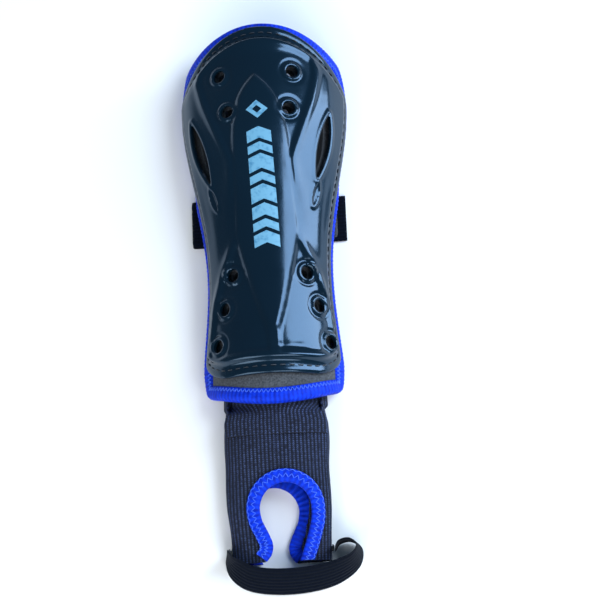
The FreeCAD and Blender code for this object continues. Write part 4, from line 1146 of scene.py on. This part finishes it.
def make_arch_binding(name, node, sign):
    """Tape rolled over the edge of the front (sign 1) or rear (sign -1) opening, and its stitches."""
    front = sign > 0
    count = 330
    line = even(arch_path(sign), count)
    away = left_of(line)
    # (distance from the opening's edge over the knit, height over the knit's outside)
    profile = np.array([
        (7.9, 0.18), (7.4, 0.62), (6.2, 0.72), (4.4, 0.95), (2.6, 1.0), (1.1, 0.85), (0.2, 0.35),
        (-0.1, -0.6),
        (0.1, -1.7), (1.0, -2.5), (2.6, -2.75), (4.4, -2.7), (6.2, -2.6), (7.4, -2.45), (7.9, -1.95),
        (6.4, -1.75), (3.0, -1.65), (1.6, -0.9), (3.0, -0.05), (6.4, 0.0),
    ])
    total = length_of(line)
    at_length = np.linspace(0, total, count)
    rings, uv = [], []
    for k in range(count):
        end = min(at_length[k], total - at_length[k])
        pinch = 0.55 + 0.45 * float(smooth(np.array(end / 2.5)))
        pucker = 0.13 * math.sin(2 * math.pi * at_length[k] / 2.6)
        at = line[k] + away[k] * profile[:, :1]
        y = np.clip(at[:, 1], TIP_Y + 0.05, None)
        outwards = np.where(profile[:, 1] > -0.85, 1, -1)
        off = profile[:, 1] * np.where(outwards > 0, pinch, 1) + outwards * pucker * 0.7
        rings.append(tube_point(tube_turn(at[:, 0], y, front), y, -off))
        uv += [(at_length[k], j * 1.5) for j in range(len(profile))]
    tape = clean(swept(name, rings, BINDING, np.array(uv), smooth_angle=80))
    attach(tape, "ankle_sleeve")
    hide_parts(node)
    loops = int(total / STITCH_PITCH)
    fine = even(line, loops * 4 + 1)
    away = left_of(fine)
    lines = []
    for depths, rise in (((2.6, 3.8, 5.0, 3.8), 1.08), ((6.6, 7.2, 7.7, 7.2), 0.78)):
        depth = np.append(np.tile(depths, loops), depths[0])
        at = fine + away * depth[:, None]
        y = np.clip(at[:, 1], TIP_Y + 0.3, None)
        off = rise + np.append(np.tile((-0.1, 0.06, -0.14, 0.06), loops), -0.1)
        lines += zigzags(tube_point(tube_turn(at[:, 0], y, front), y, -off))
    stitches = tubes(f"{name}_thread", lines, 0.24, BLUE_THREAD, sides=5)
    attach(stitches, "ankle_sleeve")


def make_rear_hem():
    """The turned-in hem on the rear rim."""
    low, high = (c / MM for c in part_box("rear_hem"))
    xs = np.linspace(low.x, high.x, 90)
    profile = [(0.0, 0.0), (0.05, 0.6), (0.5, 1.05), (1.6, 1.2), (3.4, 1.15), (4.8, 1.0), (5.7, 0.6),
               (6.0, 0.0)]
    rings, uv = [], []
    for x in xs:
        end = min(x - low.x, high.x - x)
        flat = float(smooth(np.array(0.35 + end / 1.5)))
        wave = 0.07 * math.sin(x * 2.1)
        rings.append([(x, high.y - d, low.z + h * flat + (wave if 0 < h else 0)) for d, h in profile])
        uv += [(x, d) for d, h in profile]
    hem = clean(swept("sleeve_rear_hem", rings, KNIT, np.array(uv)))
    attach(hem, "ankle_sleeve")
    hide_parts("rear_hem")


def make_ankle_pad(side):
    """An oval cushion, crowned on both faces."""
    node = f"ankle_pad_{side}"
    low, high = (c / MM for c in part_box(node))
    middle = (low + high) / 2
    half = (high - low) / 2
    rings, uv = [], []
    steps = 28
    for i in range(steps + 1):
        phi = -math.pi / 2 + math.pi * i / steps
        reach = max(math.cos(phi), 0.02) ** 0.42
        out = math.copysign(abs(math.sin(phi)) ** 1.15, math.sin(phi))
        ring = []
        for a in np.linspace(0, 2 * math.pi, 56, endpoint=False):
            c, s = math.cos(a), math.sin(a)
            y = middle.y + half.y * reach * math.copysign(abs(c) ** 0.85, c)
            z = middle.z + half.z * reach * math.copysign(abs(s) ** 0.85, s)
            dent = 0.22 * math.sin(y / 3.1) * math.sin(z / 2.7)
            ring.append((middle.x + (half.x - 0.15) * (out + 0.1 * dent), y, z))
            uv.append((y, z))
        rings.append(ring)
    pad = clean(swept(f"ankle_pad_cushion_{side}", rings, LINING, np.array(uv)))
    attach(pad, "ankle_sleeve")
    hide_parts(node)


def make_flap():
    """The sleeve's front margin: sewn on the lining, and turning with the sleeve below the pad."""
    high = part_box("sleeve_flap")[1].y / MM
    ys = np.concatenate([np.arange(-83.0, high, 1.2), [high]])
    across = np.linspace(-1, 1, 81)
    reach_round = 0.215  # in turns of the sleeve, to each side
    top, under, uv = [], [], []
    for y in ys:
        r, zc = float(form.radius(y)), float(form.centre(y))
        wide = 42.0 + 24.0 * smooth((-38 - y) / 14)
        angle = np.radians(wide) * across
        out = smooth(np.array((-62.5 - y) / 8.5))
        rib = 0.16 * np.cos(2 * math.pi * RIBS * reach_round * across)
        proud = 0.35 * (1 - smooth(np.array((-76.0 - y) / 7)))
        on_tube = tube_point(reach_round * across, y, 0.0 - proud)
        for inner in (0, 1):
            reach = r - 8.15 - 1.15 * inner - 0.16 + rib * (1 - inner)
            ring = np.stack([reach * np.sin(angle), y + 0 * angle, zc + reach * np.cos(angle)], 1)
            tube = on_tube - (0, 0, 1.1 * inner)
            tube = tube + np.outer(rib * (1 - inner), (0, 0, 1.0))
            (under if inner else top).append(ring * (1 - out) + tube * out)
        uv.append(np.stack([across * reach_round * RIBS * RIB_PITCH, y + 0 * across], 1))
    quads = grid_quads(len(ys), len(across))
    flap = thick_sheet("sleeve_flap_knit", np.vstack(top), np.vstack(under), quads, np.vstack(uv), KNIT)
    clean(flap)
    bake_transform(flap)
    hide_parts("sleeve_flap")


def make_tacks():
    """Bar tacks: a dense row of threads over each place where the stirrup is sewn on."""
    for side, sign in (("left", -1), ("right", 1)):
        node = f"bar_tack_{side}"
        low, high = (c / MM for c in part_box(node))
        lines = []
        for k in range(11):
            z = float(low.z) + 0.5 + (float(high.z) - float(low.z) - 1.0) * k / 10
            y = np.linspace(float(low.y) + 0.3, float(high.y) - 0.3, 8)
            tall = tube_size(y)[1]
            c = np.clip((z - BASE - tall / 2) / (tall / 2), -0.98, 0.98)
            a = np.arccos(np.sign(c) * np.abs(c) ** (POWER / 2))
            turn = np.interp(sign * a, ANGLES, LENGTHS)
            off = 0.15 + 0.35 * np.sin(np.linspace(0, math.pi, 8)) ** 0.5
            lines.append(tube_point(turn, y, -off))
        obj = tubes(f"bar_tack_thread_{side}", lines, 0.3, DARK_THREAD)
        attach(obj, "ankle_sleeve")
        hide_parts(node)


def make_stirrup():
    """The elastic under the foot, standing on its edge."""
    # (x, y, z, how far the strap stands on its edge, in degrees)
    route = np.array([
        (-32.0, -151.5, 10.2, 86.0), (-30.9, -157.0, 9.9, 72.0), (-26.5, -162.3, 8.6, 54.0),
        (-18.0, -167.5, 7.9, 48.0), (-3.0, -169.9, 7.8, 46.0),
        (15.0, -169.5, 7.9, 47.0), (31.0, -166.3, 8.5, 52.0), (43.0, -160.3, 9.9, 66.0),
        (46.6, -152.3, 10.5, 80.0), (41.5, -147.6, 10.8, 86.0), (35.0, -148.6, 10.6, 88.0),
        (32.3, -152.5, 10.4, 88.0),
    ])
    line = spline(route, 170)
    middles = line[:, :3]
    along = unit(np.gradient(middles, axis=0) * (1, 1, 0))
    inward = np.stack([-along[:, 1], along[:, 0], 0 * along[:, 0]], 1)
    up = np.array([0, 0, 1.0])
    angle = np.radians(line[:, 3])[:, None]
    across = inward * np.cos(angle) + up * np.sin(angle)
    through = up * np.cos(angle) - inward * np.sin(angle)
    obj = clean(ribbon("stirrup_elastic", middles, across, through, 19.6, 1.15, 9, ELASTIC))
    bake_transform(obj)
    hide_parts("stirrup_strap")


# ---- surroundings

def floor_material():
    m = Nodes("studio_floor", Roughness=0.65)
    m.colour(m.mix(m.noise(3.0, 2.0), (0.90, 0.90, 0.90, 1), (0.94, 0.94, 0.94, 1)))
    return m.material


def area_light(name, place, aim, size, power, colour):
    data = bpy.data.lights.new(name, "AREA")
    data.shape = "RECTANGLE"
    data.size, data.size_y = size
    data.energy = power
    data.color = colour
    obj = bpy.data.objects.new(name, data)
    obj.location = place
    obj.rotation_euler = (Vector(aim) - Vector(place)).to_track_quat("-Z", "Y").to_euler()
    bpy.context.scene.collection.objects.link(obj)


def make_surroundings():
    floor = make_object("studio_floor", [(-4, -4, 0), (4, -4, 0), (4, 4, 0), (-4, 4, 0)], [[0, 1, 2, 3]],
                        None, floor_material(), scale=1.0)
    floor.location.z = cad_bounds[0][2] - 0.0006
    world = bpy.data.worlds.new("studio")
    world.use_nodes = True
    world.node_tree.nodes["Background"].inputs[0].default_value = (0.50, 0.74, 1.0, 1)
    world.node_tree.nodes["Background"].inputs[1].default_value = 0.32
    bpy.context.scene.world = world
    area_light("key", (1.05, 0.38, 0.80), (0, 0.02, 0.02), (0.55, 1.5), 30, (0.72, 0.85, 1.0))
    area_light("fill", (-0.9, -1.3, 0.9), (0, 0, 0.02), (1.2, 1.2), 22, (1.0, 0.98, 0.95))
    area_light("foot", (0.5, -1.5, 1.2), (0, 0, 0.02), (1.2, 1.0), 21, (1.0, 0.98, 0.96))
    bpy.context.scene.view_settings.view_transform = "Standard"


def make_camera():
    """The photograph's view: from above the foot end, with the guard leaning a little to the left."""
    azimuth, elevation, tilt = math.radians(7.0), math.radians(73.0), math.radians(2.5)
    level = math.cos(elevation)
    back = Vector((math.sin(azimuth) * level, -math.cos(azimuth) * level, math.sin(elevation)))
    along = Vector((0, 1, 0)) - back * back.y
    up = Matrix.Rotation(-tilt, 3, back) @ along.normalized()
    right = up.cross(back)
    apex = Vector((0, 0.1775, 0.040))
    target = apex + right * 0.0265 - up * 0.1743
    data = bpy.data.cameras.new("photo_view")
    data.sensor_width = 36
    data.lens = 124.3
    data.clip_start, data.clip_end = 0.05, 20
    camera = bpy.data.objects.new("photo_view", data)
    camera.matrix_world = Matrix((right, up, back)).transposed().to_4x4()
    camera.location = target + back * 1.3
    bpy.context.scene.collection.objects.link(camera)
    bpy.context.scene.camera = camera


make_shell()
make_print()
make_shell_stitches()
make_pad()
make_binding()
make_calf_strap()
make_fasteners()
make_sleeve()
make_arch_binding("front_arch_tape", "front_binding", 1)
make_arch_binding("rear_arch_tape", "rear_binding", -1)
make_rear_hem()
for hand in ("left", "right"):
    make_ankle_pad(hand)
make_flap()
make_tacks()
make_stirrup()
make_surroundings()
make_camera()
